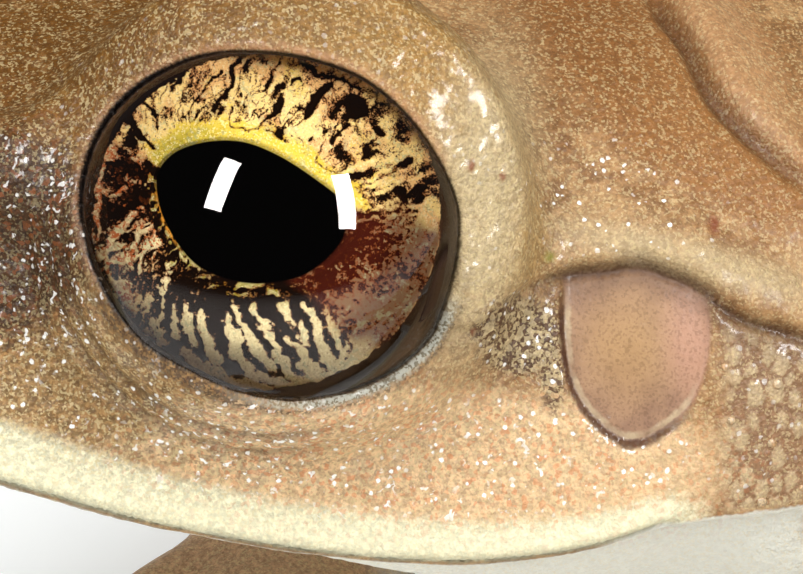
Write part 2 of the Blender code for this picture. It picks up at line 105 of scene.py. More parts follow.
# Under the cornea lie the globe, and the iris as a dome before it
GLOBE_RADIUS = CORNEA_RADIUS - 0.06
GLOBE_LATITUDES_DEG = (18, 8, -4, -18, -35, -52, -68, -82)
IRIS_EDGE_HEIGHT = 1.02
IRIS_EDGE_REACH = 2.62
IRIS_RISE = 0.33

# The ridge from the eye to the nostril, and the nostril, on the left side of the head
CANTHUS = [(3.4, -8.6, 4.7, 0.7, 0.6), (2.6, -10.6, 4.1, 0.7, 0.6), (1.9, -12.6, 3.3, 0.6, 0.5)]
CANTHUS_BLEND = 0.9
NOSTRIL_CENTRE = np.array([1.6, -13.15, 3.0])
NOSTRIL_RADIUS = 0.5
NOSTRIL_BLEND = 0.5
NOSTRIL_PIT_CENTRE = np.array([1.98, -13.4, 3.22])
NOSTRIL_PIT_RADIUS = 0.24
NOSTRIL_PIT_BLEND = 0.12

# Torso: y, half width, height of the widest line, top, bottom
TORSO_STATIONS = [
    (-9.0, 6.9, 9.6, 15.2, 5.9),
    (-6.0, 7.2, 9.6, 15.3, 5.4),
    (-3.0, 7.1, 9.4, 15.3, 4.5),
    (0.0, 7.2, 8.8, 15.0, 3.2),
    (4.0, 7.5, 7.8, 14.5, 1.5),
    (8.0, 7.4, 6.9, 13.6, 0.2),
    (12.0, 6.5, 6.2, 11.9, -0.2),
    (16.0, 4.9, 5.3, 9.2, 0.5),
    (19.0, 3.1, 4.6, 6.9, 2.2),
    (20.8, 1.4, 4.2, 5.3, 3.2),
]
TORSO_SQUARENESS = 2.25

# Legs of the left side: x, y, z, half width, half height
THIGH = [(3.6, 15.8, 6.2, 3.0, 3.1), (6.6, 12.2, 6.5, 3.2, 3.3), (10.4, 8.4, 6.4, 2.9, 3.0),
         (13.6, 5.4, 6.0, 2.3, 2.4), (15.8, 3.4, 5.6, 1.8, 1.9)]
SHANK = [(17.0, 2.4, 4.7, 1.6, 1.7), (16.8, 6.0, 4.3, 2.1, 2.2), (15.4, 11.0, 4.0, 2.2, 2.3),
         (13.2, 16.2, 3.6, 1.7, 1.8), (11.2, 20.2, 3.1, 1.3, 1.35), (10.2, 22.2, 2.8, 1.2, 1.2)]
TARSUS = [(10.4, 22.6, 1.6, 1.2, 1.15), (12.6, 20.4, 1.4, 1.2, 1.1), (15.4, 17.2, 1.3, 1.1, 1.0),
          (17.6, 14.6, 1.2, 1.15, 0.95)]
SOLE = [(17.7, 14.4, 1.15, 1.15, 0.85), (18.4, 12.2, 1.05, 1.6, 0.8), (19.1, 9.8, 0.9, 1.8, 0.7)]
KNEE = [(16.5, 3.0, 5.0, 1.6, 1.7), (16.9, 2.8, 4.8, 1.6, 1.6)]
HEEL = [(10.2, 22.3, 2.4, 1.1, 1.2), (10.4, 22.4, 2.0, 1.1, 1.1)]
FOOT_BASE = (18.0, 13.6, 1.05)
TOE_ANGLES_DEG = (-14.0, 0.0, 13.0, 25.0, 44.0)
TOE_LENGTHS = (8.0, 10.8, 14.0, 18.0, 14.0)
WEB_REACH = 0.82
WEB_SCALLOP = 0.28
WEB_THICKNESS = 0.5
WEB_HEIGHT = 0.93
WEB_DROP = 0.42
# The web reaches no further along a toe than this share of the shorter toe beside it
WEB_LONGEST_SHARE = 1.3

# Arms
UPPER_ARM = {
    1: [(5.2, -3.4, 8.2, 1.7, 1.8), (7.6, -2.4, 7.2, 1.75, 1.8), (9.6, -0.8, 5.8, 1.5, 1.55),
        (10.9, 0.6, 4.7, 1.4, 1.4)],
    -1: [(-5.2, -3.4, 8.2, 1.7, 1.8), (-7.6, -2.6, 7.2, 1.75, 1.8), (-9.4, -1.2, 5.8, 1.5, 1.55),
         (-10.6, 0.0, 4.7, 1.4, 1.4)],
}
FOREARM = {
    1: [(11.2, 0.6, 4.1, 1.4, 1.4), (11.3, -2.0, 3.6, 1.7, 1.7), (11.0, -5.4, 2.7, 1.4, 1.35),
        (10.7, -8.2, 1.8, 1.05, 1.0)],
    -1: [(-10.8, 0.1, 4.1, 1.4, 1.4), (-10.8, -2.4, 3.6, 1.7, 1.7), (-10.2, -5.4, 2.7, 1.4, 1.35),
         (-9.4, -7.8, 1.8, 1.05, 1.0)],
}
PALM = {
    1: [(10.7, -8.6, 1.5, 1.05, 0.95), (10.6, -10.2, 1.2, 1.5, 0.85), (10.5, -12.0, 1.0, 1.8, 0.75)],
    -1: [(-9.1, -8.1, 1.5, 1.05, 0.95), (-7.8, -8.9, 1.2, 1.5, 0.85), (-6.2, -9.6, 1.0, 1.8, 0.75)],
}
HAND_BASE = {1: (10.6, -9.8, 1.2), -1: (-8.0, -8.8, 1.2)}
HAND_TURN_DEG = {1: -6.0, -1: -68.0}
FINGER_ANGLES_DEG = (-44.0, -14.0, 10.0, 42.0)
FINGER_LENGTHS = (5.6, 7.2, 9.8, 8.0)
DIGIT_PROFILE = [(0.0, 1.15, 0.62), (0.35, 1.0, 0.60), (0.55, 0.85, 0.52), (0.75, 0.66, 0.55),
                 (0.92, 0.50, 0.46)]
DISC_HALF_SIZE = {"finger": (1.02, 1.1, 0.5), "toe": (0.85, 0.95, 0.46)}
DISC_AXIS_HEIGHT = 0.42
DIGIT_FLATNESS = 0.92

# How softly the parts join the rest, in millimetres, in the order in which they are joined
TORSO_BLEND = 0.5
HEAD_BLEND = 1.3
LEG_BLENDS = [(THIGH, 0.9), (SHANK, 0.35), (TARSUS, 0.7), (SOLE, 0.4), (KNEE, 0.5), (HEEL, 0.6)]
ARM_BLENDS = [(UPPER_ARM, 0.8), (FOREARM, 0.5), (PALM, 0.45)]
DIGIT_BLEND = 0.3
DISC_BLEND = 0.25
WEB_BLEND = 0.25
TORSO_BOX = ((-8.5, -10.5, -1.0), (8.5, 22.0, 16.0))
HEAD_BOX = ((-9.0, -24.0, 3.0), (9.0, -1.5, 19.0))
# How far outside its box a part still joins the rest
PART_MARGIN = 1.6
# How many dark bars lie across each part of a limb
LEG_BARS = [(THIGH, 3.2), (SHANK, 4.4), (TARSUS, 2.3)]
ARM_BARS = [(UPPER_ARM, 1.4), (FOREARM, 2.6)]

# Camera: close, a little ahead of the frog's left side and above it
CAMERA_AZIMUTH_DEG = 72.0
CAMERA_ELEVATION_DEG = 30.0
CAMERA_DISTANCE = 90.0
CAMERA_LENS = 282.0
SENSOR_WIDTH = 36.0
PHOTO_SIZE = (803, 574)
EYE_ON_PHOTO = (270.0, 230.0)

# The lid's rim and the pupil, in pixels of the photo's frame
LID_RIM_ON_PHOTO = [(457, 230), (450, 285), (428, 337), (390, 371), (345, 390), (295, 397), (250, 391),
                    (205, 374), (145, 337), (104, 280), (86, 225), (86, 178), (102, 132), (132, 95),
                    (170, 70), (207, 57), (245, 53), (300, 58), (357, 77), (400, 110), (432, 152),
                    (452, 195)]
PUPIL_ON_PHOTO = [(347, 222), (345, 203), (320, 182), (282, 157), (245, 142), (210, 141), (178, 150),
                  (160, 167), (156, 185), (161, 212), (175, 240), (195, 264), (222, 278), (255, 284),
                  (295, 279), (322, 264), (342, 242)]
IRIS_HUB = (198.0, 192.0)
IRIS_CENTRE_ON_PHOTO = (268.5, 223.0)
IRIS_HALF_SIZE_ON_PHOTO = (182.5, 172.0)

# The ear and the folds, where a side view of the head shows them, in pixels of the photo's frame
EAR_HUB = (638.0, 352.0)
EAR_OUTLINE_ON_PHOTO = [(566, 274), (590, 270), (624, 266), (645, 267), (665, 273), (690, 283), (706, 297),
                        (712, 320), (711, 350), (704, 380), (690, 410), (662, 433), (630, 444), (600, 426),
                        (578, 398), (568, 368), (564, 335), (564, 300)]
EAR_CREASE_ON_PHOTO = [(478, 330), (500, 310), (518, 296), (540, 282), (566, 273), (590, 269), (608, 268),
                       (625, 264), (645, 264), (662, 270), (690, 281), (708, 292), (722, 306), (738, 316),
                       (757, 324), (780, 330), (803, 338), (870, 365)]
NECK_CREASE_ON_PHOTO = [(645, -20), (665, 15), (690, 50), (708, 88), (733, 120), (765, 150), (803, 182),
                        (900, 240)]
# Patches and marks of the head's side as soft ovals in the photo's frame: how strong, the middle, the half
# size, the turn in degrees, and how soft
PATCHES = {
    "lore": [(1, (-20, 235), (130, 105), -8, 0.6), (1, (-240, 260), (200, 80), 18, 0.5)],
    "brown": [(1, (60, 360), (200, 110), 18, 0.5), (1, (165, 428), (125, 38), 14, 0.6)],
    "warm": [(1, (430, 462), (300, 74), 2, 0.5), (0.6, (640, 470), (120, 40), 8, 0.5)],
    "cheek": [(1, (474, 215), (52, 145), 8, 0.7), (0.75, (690, 262), (150, 20), 14, 0.7),
              (0.25, (585, 238), (90, 36), 10, 0.9)],
    "patch": [(1, (520, 335), (46, 38), 8, 0.5), (0.8, (550, 368), (14, 50), -4, 0.6)],
    "ear_warm": [(1, (628, 342), (46, 50), 0, 0.9)],
    "ear_pink": [(1, (692, 345), (24, 50), -6, 0.8)],
    "red": [(1, (471, 166), (4, 5), 0, 0.5), (1, (501, 176), (3, 3.6), 0, 0.5),
            (1, (474, 331), (3.4, 3), 0, 0.5), (1, (714, 226), (4.5, 10), 0, 0.5)],
    "green": [(1, (545, 257), (5, 4.4), 0, 0.5)],
}

# The skin's mesh: the box that it is first drawn in, that first grid, how often its triangles are split,
# and the length of their sides in millimetres
SKIN_BOX_LOW = np.array([-29.0, -25.0, -0.8])
SKIN_BOX_HIGH = np.array([29.0, 25.5, 19.5])
SKIN_GRID = (0.55, 0.55, 0.34)
SKIN_SPLITS = 5
FACE_SIDE = 0.086
LID_RIM_SIDE = 0.042
HEAD_SIDE = 0.26
DIGIT_SIDE = 0.3
BODY_SIDE = 0.55

# How far apart the grains of the skin and of the iris lie, in millimetres
SEED_GRAIN, SKIN_GRAIN = 0.034, 0.066
IRIS_SPECK, IRIS_GRAIN = 0.022, 0.045
SKIN_IOR = 1.42
IRIS_IOR = 1.35
CORNEA_IOR = 1.376

# Depths and heights of the skin's folds and grain, in millimetres
MOUTH_DEPTH = 0.13
LIP_RISE = 0.05
DRUM_DEPTH = 0.09
DRUM_BULGE = 0.05
EAR_GROOVE_DEPTH = 0.07
EAR_FOLD_DEPTH = 0.12
EAR_FOLD_HEIGHT = 0.17
NECK_FOLD_DEPTH = 0.2
NECK_FOLD_HEIGHT = 0.24
LID_GROOVE_DEPTH = 0.08
SMALL_GRAIN_HEIGHT = 0.026
BIG_GRAIN_HEIGHT = 0.035
UNEVENNESS = 0.03

# Flash lamps: name, way from the eye as right, up and out of the photo's view, and lean in degrees
FLASHES = [("left", (-0.429, 0.41, 0.805), 15.0), ("right", (0.689, 0.248, 0.681), 0.0)]
FLASH_DISTANCE = 60.0
FLASH_SIZE = (16.0, 30.0)
# Lamps that only mirrors see, a little nearer to the eye than the flash lamps
GLINT_SHARE = 0.95
GLINT_SIZE = (10.5, 29.0)
FILL_PLACE = (60.0, -40.0, 330.0)
FILL_SIZE = (260.0, 260.0)
# The floor is whole up to the first distance from its middle, and gone at the second
FLOOR_FADE = (50.0, 130.0)
# The world's strength for light on skin, for mirrors and for the camera
SKY_LIGHT, SKY_MIRRORED, SKY_SEEN = 0.9, 0.12, 1.0
SKY_GREY = (0.5, 0.5, 0.5)
SKY_WHITE = (0.93, 0.94, 0.94)


def smooth_value(keys, x):
    """The value at x of a smooth curve through keys, which are (x, value) in rising order."""
    if x <= keys[0][0]:
        return keys[0][1]
    if x >= keys[-1][0]:
        return keys[-1][1]
    last = len(keys) - 1
    i = max(k for k in range(last) if keys[k][0] <= x)
    (x0, y0), (x1, y1) = keys[i], keys[i + 1]
    before, after = keys[max(i - 1, 0)], keys[min(i + 2, last)]
    slope0 = (y1 - before[1]) / (x1 - before[0])
    slope1 = (after[1] - y0) / (after[0] - x0)
    span = x1 - x0
    t = (x - x0) / span
    return (y0 * (1 + 2 * t) * (1 - t) ** 2 + y1 * t * t * (3 - 2 * t)
            + span * (slope0 * t * (1 - t) ** 2 - slope1 * t * t * (1 - t)))


class Curve:
    """A smooth curve through (x, value) keys that takes whole arrays."""

    def __init__(self, keys, samples=240):
        self.x = np.linspace(keys[0][0], keys[-1][0], samples)
        self.values = np.array([smooth_value(keys, x) for x in self.x])

    def __call__(self, x):
        return np.interp(x, self.x, self.values)


def smooth_rows(rows, steps):
    """Rows of numbers with steps new rows between each two, on a smooth curve through them all."""
    keys = [[(float(i), value) for i, value in enumerate(column)] for column in zip(*rows)]
    count = (len(rows) - 1) * steps
    return np.array([[smooth_value(key, i / steps) for key in keys] for i in range(count + 1)])


def soft_step(low, high, x):
    t = np.clip((x - low) / (high - low), 0.0, 1.0)
    return t * t * (3 - 2 * t)


def soft_min(a, b, blend):
    mix = np.clip(0.5 + 0.5 * (b - a) / blend, 0.0, 1.0)
    return b + (a - b) * mix - blend * mix * (1 - mix)


def soft_max(a, b, blend):
    return -soft_min(-a, -b, blend)


def bell(x, width):
    return np.exp(-((x / width) ** 2))


def head_turn():
    """Rows turn head directions into model directions, as vectors @ head_turn().T."""
    c, s = math.cos(math.radians(HEAD_PITCH_DEG)), math.sin(math.radians(HEAD_PITCH_DEG))
    return np.array([[1, 0, 0], [0, c, s], [0, -s, c]])


def to_head(points):
    return (points - HEAD_ORIGIN) @ head_turn()


def from_head(points):
    return np.asarray(points) @ head_turn().T + HEAD_ORIGIN


def model_shift():
    """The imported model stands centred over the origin: what its build added to the named places."""
    low, high = (np.array(corner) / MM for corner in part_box("eye_left"))
    return (low + high) / 2 - from_head(EYE_CENTRE)


SHIFT = model_shift()


def view_axes():
    """Right, up and out of the photo's view, as model directions."""
    azimuth, elevation = math.radians(CAMERA_AZIMUTH_DEG), math.radians(CAMERA_ELEVATION_DEG)
    out = np.array([math.sin(azimuth) * math.cos(elevation), -math.cos(azimuth) * math.cos(elevation),
                    math.sin(elevation)])
    right = np.array([math.cos(azimuth), math.sin(azimuth), 0.0])
    return right, np.cross(out, right), out


PIXELS_PER_MM = CAMERA_LENS * PHOTO_SIZE[0] / SENSOR_WIDTH / CAMERA_DISTANCE


def frame_offset():
    """From the eye to the middle of the photo's frame, in millimetres right and up."""
    return ((PHOTO_SIZE[0] / 2 - EYE_ON_PHOTO[0]) / PIXELS_PER_MM,
            (EYE_ON_PHOTO[1] - PHOTO_SIZE[1] / 2) / PIXELS_PER_MM)


def on_left(head_points):
    """Points of either side of the head as the same places on its left side."""
    places = head_points.copy()
    places[:, 0] = np.abs(places[:, 0])
    return places


def on_photo(head_points):
    """Where points of either side of the head fall in the photo's frame, in its pixels."""
    turn = head_turn()
    right, up, out = (axis @ turn for axis in view_axes())
    reach = on_left(head_points) - EYE_CENTRE
    offset_right, offset_up = frame_offset()
    near = CAMERA_DISTANCE / (CAMERA_DISTANCE - reach @ out)
    across = PHOTO_SIZE[0] / 2 + PIXELS_PER_MM * near * (reach @ right - offset_right)
    down = PHOTO_SIZE[1] / 2 - PIXELS_PER_MM * near * (reach @ up - offset_up)
    return across, down


JAW, CROWN, CHIN, TAPER, MOUTH = (
    Curve(keys) for keys in (JAW_HALF_WIDTH, CROWN_HEIGHT, CHIN_DEPTH, CROWN_TAPER, MOUTH_LINE))
TORSO = [Curve([(row[0], row[column]) for row in TORSO_STATIONS]) for column in range(1, 5)]


def eye_axes(side):
    """Back, up and out of one eye, in the head frame."""
    forward, rise = math.radians(EYE_FORWARD_DEG), math.radians(EYE_UP_DEG)
    out = np.array([side * math.cos(rise) * math.cos(forward), -math.cos(rise) * math.sin(forward),
                    math.sin(rise)])
    back = np.cross([0.0, 0.0, 1.0], out) * side
    back /= np.linalg.norm(back)
    up = np.cross(out, back) * side
    return back, up, out


def on_dome(across, down, height):
    """Places on the left eye, in its own axes, that the photo's frame shows at these pixels."""
    turn = head_turn()
    right, up, out = (axis @ turn for axis in view_axes())
    axes = np.stack(eye_axes(1), 1)
    offset_right, offset_up = frame_offset()
    u = (across - PHOTO_SIZE[0] / 2) / PIXELS_PER_MM
    v = (PHOTO_SIZE[1] / 2 - down) / PIXELS_PER_MM
    depth = np.full(len(across), 1.3)
    for _ in range(8):
        near = 1 - depth / CAMERA_DISTANCE
        place = (np.outer(u * near + offset_right, right) + np.outer(v * near + offset_up, up)
                 + np.outer(depth, out)) @ axes
        depth += (height(np.hypot(place[:, 0], place[:, 1])) - place[:, 2]) * 0.9
    return place


def cornea_height(reach):
    """Height of the cornea over the middle of the eye, at a distance from the eye's axis."""
    return np.sqrt(np.maximum(CORNEA_RADIUS ** 2 - reach ** 2, 0.01))


def rim_heights():
    """Turns about the eye's axis, and the height of the lid's rim over the middle of the eye at each."""
    rim = smooth_rows(LID_RIM_ON_PHOTO + LID_RIM_ON_PHOTO[:3], 6)[6:-6]
    places = on_dome(rim[:, 0], rim[:, 1], cornea_height)
    turn = np.degrees(np.arctan2(places[:, 1], places[:, 0])) % 360
    order = np.argsort(turn)
    return turn[order], places[order, 2]


RIM = rim_heights()


def from_eye(head_points):
    """How far points lie back, up and out of the middle of the left eye."""
    offset = head_points - EYE_CENTRE
    return [offset @ axis for axis in eye_axes(1)]


def rim_height(back, up):
    """Height of the lid's rim over the middle of the eye, on the side where each point lies."""
    return np.interp(np.degrees(np.arctan2(up, back)) % 360, *RIM, period=360)


def rim_reach(back, up):
    """How far the lid's rim is from the eye's axis, on the side where each point lies."""
    return np.sqrt(CORNEA_RADIUS ** 2 - rim_height(back, up) ** 2)


def on_side(rows, side):
    """Rows of the left side, or the same rows on the right side."""
    return [(side * x, *rest) for x, *rest in rows]


def tube_field(points, rows, steps=4):
    """Distance from a tube along rows of (x, y, z, half width, half height)."""
    path = smooth_rows(rows, steps)
    result = np.full(len(points), 99.0)
    for near, far in zip(path, path[1:]):
        step = far[:3] - near[:3]
        along = np.clip((points - near[:3]) @ step / (step @ step), 0.0, 1.0)
        offset = points - near[:3] - along[:, None] * step
        width = near[3] + (far[3] - near[3]) * along
        height = near[4] + (far[4] - near[4]) * along
        offset[:, 2] *= width / height
        result = np.minimum(result, np.linalg.norm(offset, axis=1) - width)
    return result


def along_tube(points, rows, steps=2):
    """How far along a tube each point lies, from 0 to 1, and its distance from the tube's middle."""
    path = smooth_rows(rows, steps)
    best, place = np.full(len(points), 99.0), np.zeros(len(points))
    for i, (near, far) in enumerate(zip(path, path[1:])):
        step = far[:3] - near[:3]
        along = np.clip((points - near[:3]) @ step / (step @ step), 0.0, 1.0)
        gap = np.linalg.norm(points - near[:3] - along[:, None] * step, axis=1)
        closer = gap < best
        best[closer] = gap[closer]
        place[closer] = (i + along[closer]) / (len(path) - 1)
    return place, best


def ellipsoid_field(points, centre, half_sizes, turn_deg=0.0):
    """Distance from an ellipsoid that is turned about the vertical."""
    c, s = math.cos(math.radians(turn_deg)), math.sin(math.radians(turn_deg))
    offset = points - np.asarray(centre)
    local = np.stack([c * offset[:, 0] + s * offset[:, 1], c * offset[:, 1] - s * offset[:, 0],
                      offset[:, 2]], 1)
    sizes = np.asarray(half_sizes)
    reach = np.linalg.norm(local / sizes, axis=1) + 1e-9
    slope = np.linalg.norm(local / sizes ** 2, axis=1) + 1e-9
    return reach * (reach - 1) / slope


def torso_field(points):
    width, middle, top, bottom = (curve(points[:, 1]) for curve in TORSO)
    rise = points[:, 2] - middle
    height = np.where(rise > 0, top - middle, middle - bottom)
    power = TORSO_SQUARENESS
    reach = (np.abs(points[:, 0] / width) ** power + np.abs(rise / height) ** power) ** (1 / power) + 1e-9
    radius = np.hypot(points[:, 0], rise)
    body = radius * (1 - 1 / reach)
    body = soft_max(body, points[:, 1] - TORSO_STATIONS[-1][0] - 0.2, 0.8)
    return soft_max(body, -6.6 - points[:, 1] - 0.25 * (points[:, 2] - 9.0), 1.6)


def skull_field(head_points):
    """The head without eyes, lids or folds: its two jaws as one body with the lip over the chin."""
    x, y = np.abs(head_points[:, 0]), head_points[:, 1]
    rise = head_points[:, 2] - MOUTH(y)
    width = np.maximum(JAW(y), 0.12)
    crown = np.maximum(CROWN(y) - MOUTH(y), 0.3)
    up = np.clip(rise / crown, 0.0, 1.6)
    swell = np.minimum(LIP_SWELL * bell(np.maximum(rise, 0.0), LIP_HEIGHT), 0.2 * width)
    upper = width * (1 - TAPER(y) * up) + swell
    reach_up = ((x / upper) ** CROWN_SQUARENESS + up ** CROWN_SQUARENESS) ** (1 / CROWN_SQUARENESS)
    drop = np.maximum(-rise, 0.0)
    depth = np.maximum(CHIN(y) + MOUTH(y), 0.25)
    tuck = soft_step(0.0, 0.3, drop)
    lower = np.maximum(width - CHIN_INSET, 0.1) * tuck + (width + swell) * (1 - tuck)
    power = CHIN_SQUARENESS
    reach_down = ((x / lower) ** power + (drop / depth) ** power) ** (1 / power)
    reach = np.where(rise > 0, reach_up, reach_down) + 1e-9
    skull = np.hypot(x, rise) * (1 - 1 / reach)
    return soft_max(skull, -SNOUT_LENGTH - y, 0.35)


def head_field(head_points):
    """The head with its lids and the openings for the eyes and nostrils."""
    places = on_left(head_points)
    lid = np.linalg.norm(places - EYE_CENTRE - LID_SHIFT, axis=1) - LID_RADIUS
    field = soft_min(skull_field(places), lid, LID_BLEND)
    field = soft_min(field, tube_field(places, CANTHUS, steps=2), CANTHUS_BLEND)
    nostril = np.linalg.norm(places - NOSTRIL_CENTRE, axis=1) - NOSTRIL_RADIUS
    field = soft_min(field, nostril, NOSTRIL_BLEND)
    pit = np.linalg.norm(places - NOSTRIL_PIT_CENTRE, axis=1) - NOSTRIL_PIT_RADIUS
    field = soft_max(field, -pit, NOSTRIL_PIT_BLEND)
    back, up, out = from_eye(places)
    from_axis = np.hypot(back, up) + 1e-9
    beyond = from_axis - LID_RISE_START
    lid_top = (rim_height(back, up) - LID_FALL * (from_axis - LID_RIM_REACH)
               + LID_RISE * (beyond + np.hypot(beyond, LID_RISE_SOFTNESS)))
    near_lid = (from_axis < 4.8) & (out > -1.0)
    field = np.where(near_lid, soft_max(field, out - lid_top, LID_TOP_BLEND), field)
    opening = np.maximum(from_axis - rim_reach(back, up), -OPENING_DEPTH - out)
    return soft_max(field, -opening, OPENING_BLEND)


def digit_rows(base, angle_deg, length, side):
    """A finger or toe as rows for a tube, and the way in which it points."""
    angle = math.radians(angle_deg)
    ahead = np.array([side * math.sin(angle), -math.cos(angle)])
    rows = []
    for share, height, radius in DIGIT_PROFILE:
        place = np.array(base[:2]) + ahead * length * share
        rows.append((*place, height, radius, radius * DIGIT_FLATNESS))
    return rows, ahead


def web_field(points, base, toes, side):
    """Distance from the web between toes, a thin sheet whose edge is hollowed between them."""
    offset = points[:, :2] - np.array(base[:2])
    reach = np.hypot(offset[:, 0], offset[:, 1])
    angle = np.degrees(np.arctan2(side * offset[:, 0], -offset[:, 1]))
    angles = np.array([toe[0] for toe in toes])
    edge_angles, edge_reaches = [], []
    for (angle0, length0), (angle1, length1) in zip(toes, toes[1:]):
        shorter = min(length0, length1)
        near, far = (min(length, WEB_LONGEST_SHARE * shorter) for length in (length0, length1))
        for share in np.linspace(0.0, 1.0, 9):
            edge_angles.append(angle0 + (angle1 - angle0) * share)
            hollow = 1 - WEB_SCALLOP * math.sin(math.pi * share)
            edge_reaches.append(WEB_REACH * (near + (far - near) * share) * hollow)
    edge = np.interp(angle, edge_angles, edge_reaches)
    out = np.clip(reach / np.maximum(edge, 0.1), 0.0, 1.0)
    sheet = np.abs(points[:, 2] - (WEB_HEIGHT - WEB_DROP * out)) - WEB_THICKNESS / 2
    sideways = np.maximum(angles[0] - angle, angle - angles[-1]) * math.pi / 180 * reach
    return soft_max(soft_max(sheet, (reach - edge) * 0.8, 0.2), sideways, 0.2)


class Part:
    """One piece of the anatomy: a field, the box that holds it, and how softly it joins the rest."""

    def __init__(self, low, high, blend, field):
        self.low, self.high = np.asarray(low) - PART_MARGIN, np.asarray(high) + PART_MARGIN
        self.blend, self.field = blend, field


def tube_part(rows, blend):
    table = np.array(rows)
    size = table[:, 3:].max(axis=1)[:, None]
    return Part((table[:, :3] - size).min(0), (table[:, :3] + size).max(0), blend,
                lambda points: tube_field(points, rows))


def disc_part(tip, half_sizes, turn_deg):
    reach = max(half_sizes)
    return Part(np.array(tip) - reach, np.array(tip) + reach, DISC_BLEND,
                lambda points: ellipsoid_field(points, tip, half_sizes, turn_deg))


def body_parts():
    """All pieces of the frog, in the order in which they are joined."""
    parts = [Part(*TORSO_BOX, TORSO_BLEND, torso_field),
             Part(*HEAD_BOX, HEAD_BLEND, lambda points: head_field(to_head(points)))]
    for side in (1, -1):
        parts += [tube_part(on_side(rows, side), blend) for rows, blend in LEG_BLENDS]
        parts += [tube_part(rows[side], blend) for rows, blend in ARM_BLENDS]
        fingers = [(angle + HAND_TURN_DEG[side], length)
                   for angle, length in zip(FINGER_ANGLES_DEG, FINGER_LENGTHS)]
        toes = list(zip(TOE_ANGLES_DEG, TOE_LENGTHS))
        foot_base = (side * FOOT_BASE[0], *FOOT_BASE[1:])
        for base, digits, kind in ((HAND_BASE[side], fingers, "finger"), (foot_base, toes, "toe")):
            for angle, length in digits:
                rows, ahead = digit_rows(base, angle, length, side)
                parts.append(tube_part(rows, DIGIT_BLEND))
                half_sizes = DISC_HALF_SIZE[kind]
                tip = (*(np.array(base[:2]) + ahead * (length - half_sizes[1])), DISC_AXIS_HEIGHT)
                parts.append(disc_part(tip, half_sizes, side * angle))
        reach = max(TOE_LENGTHS) * WEB_REACH
        low = (foot_base[0] - (3.0 if side > 0 else reach), foot_base[1] - reach, 0.0)
        high = (foot_base[0] + (reach if side > 0 else 3.0), foot_base[1], 1.4)
        parts.append(Part(low, high, WEB_BLEND, lambda points, base=foot_base, side=side:
                          web_field(points, base, toes, side)))
    return parts


PARTS = body_parts()


def frog_field(points):
    """Signed distance from the frog's skin, roughly, in millimetres."""
    field = np.full(len(points), 6.0)
    for part in PARTS:
        near = np.flatnonzero(np.all((points > part.low) & (points < part.high), axis=1))
        if len(near):
            field[near] = soft_min(field[near], part.field(points[near]), part.blend)
    return soft_max(field, FLOOR_LEVEL - points[:, 2], 0.06)


def field_slope(points, step=0.03):
    """Gradient of the field, from four samples around each point."""
    corners = np.array([[1, 1, 1], [1, -1, -1], [-1, 1, -1], [-1, -1, 1]], float)
    return sum(corner * frog_field(points + corner * step)[:, None] for corner in corners) / (4 * step)


def settle(points, rounds=2, longest=0.3):
    """Moves points onto the surface of the field."""
    for _ in range(rounds):
        slope = field_slope(points)
        size = np.maximum((slope * slope).sum(1), 0.05)
        points = points - slope * np.clip(frog_field(points) / size, -longest, longest)[:, None]
    return points


def surface_net(low, high, step):
    """A closed mesh of triangles around the inside of the field, one corner for each cell that it crosses."""
    step = np.asarray(step)
    counts = np.ceil((np.asarray(high) - low) / step).astype(int) + 1
    grids = np.meshgrid(*(low[axis] + step[axis] * np.arange(counts[axis]) for axis in range(3)),
                        indexing="ij")
    values = frog_field(np.stack([grid.ravel() for grid in grids], 1)).reshape(counts)
    inside = values < 0
    cells = counts - 1
    total, hits = np.zeros((*cells, 3)), np.zeros(cells)
    quads = []
    for axis in range(3):
        first, second = [(1, 2), (2, 0), (0, 1)][axis]
        lower = [slice(None)] * 3
        upper = [slice(None)] * 3
        lower[axis], upper[axis] = slice(0, -1), slice(1, None)
        a, b = values[tuple(lower)], values[tuple(upper)]
        crossed = inside[tuple(lower)] != inside[tuple(upper)]
        place = np.stack(np.meshgrid(*(np.arange(size, dtype=float) for size in a.shape), indexing="ij"), -1)
        place[..., axis] += np.where(crossed, a / np.where(crossed, a - b, 1.0), 0.0)
        for i in (0, 1):
            for j in (0, 1):
                shared = [slice(None)] * 3
                shared[first] = slice(i, cells[first] + i)
                shared[second] = slice(j, cells[second] + j)
                touched = crossed[tuple(shared)]
                total += place[tuple(shared)] * touched[..., None]
                hits += touched
        nodes = np.argwhere(crossed)
        nodes = nodes[np.all((nodes > 0) & (nodes < cells), axis=1) | (nodes[:, axis] == 0)]
        around = []
        for i, j in ((1, 1), (0, 1), (0, 0), (1, 0)):
            cell = nodes.copy()
            cell[:, first] -= i
            cell[:, second] -= j
            around.append(np.ravel_multi_index(cell.T, cells))
        square = np.stack(around, 1)
        leaves = ~inside[tuple(lower)][tuple(nodes.T)]
        square[leaves] = square[leaves][:, ::-1]
        quads.append(square)
    used = np.flatnonzero(hits.ravel() > 0)
    names = np.full(hits.size, -1)
    names[used] = np.arange(len(used))
    points = (total.reshape(-1, 3)[used] / hits.ravel()[used, None]) * step + low
    squares = names[np.concatenate(quads)]
    flip = (np.linalg.norm(points[squares[:, 0]] - points[squares[:, 2]], axis=1)
            > np.linalg.norm(points[squares[:, 1]] - points[squares[:, 3]], axis=1))
    squares[flip] = np.roll(squares[flip], 1, axis=1)
    return points, np.concatenate([squares[:, [0, 1, 2]], squares[:, [0, 2, 3]]])


def edges_of(faces):
    """The edges of a mesh of triangles, and which edge each side of each face is."""
    sides = np.concatenate([faces[:, [0, 1]], faces[:, [1, 2]], faces[:, [2, 0]]])
    edges, which = np.unique(np.sort(sides, axis=1), axis=0, return_inverse=True)
    return edges, which.reshape(3, -1).T


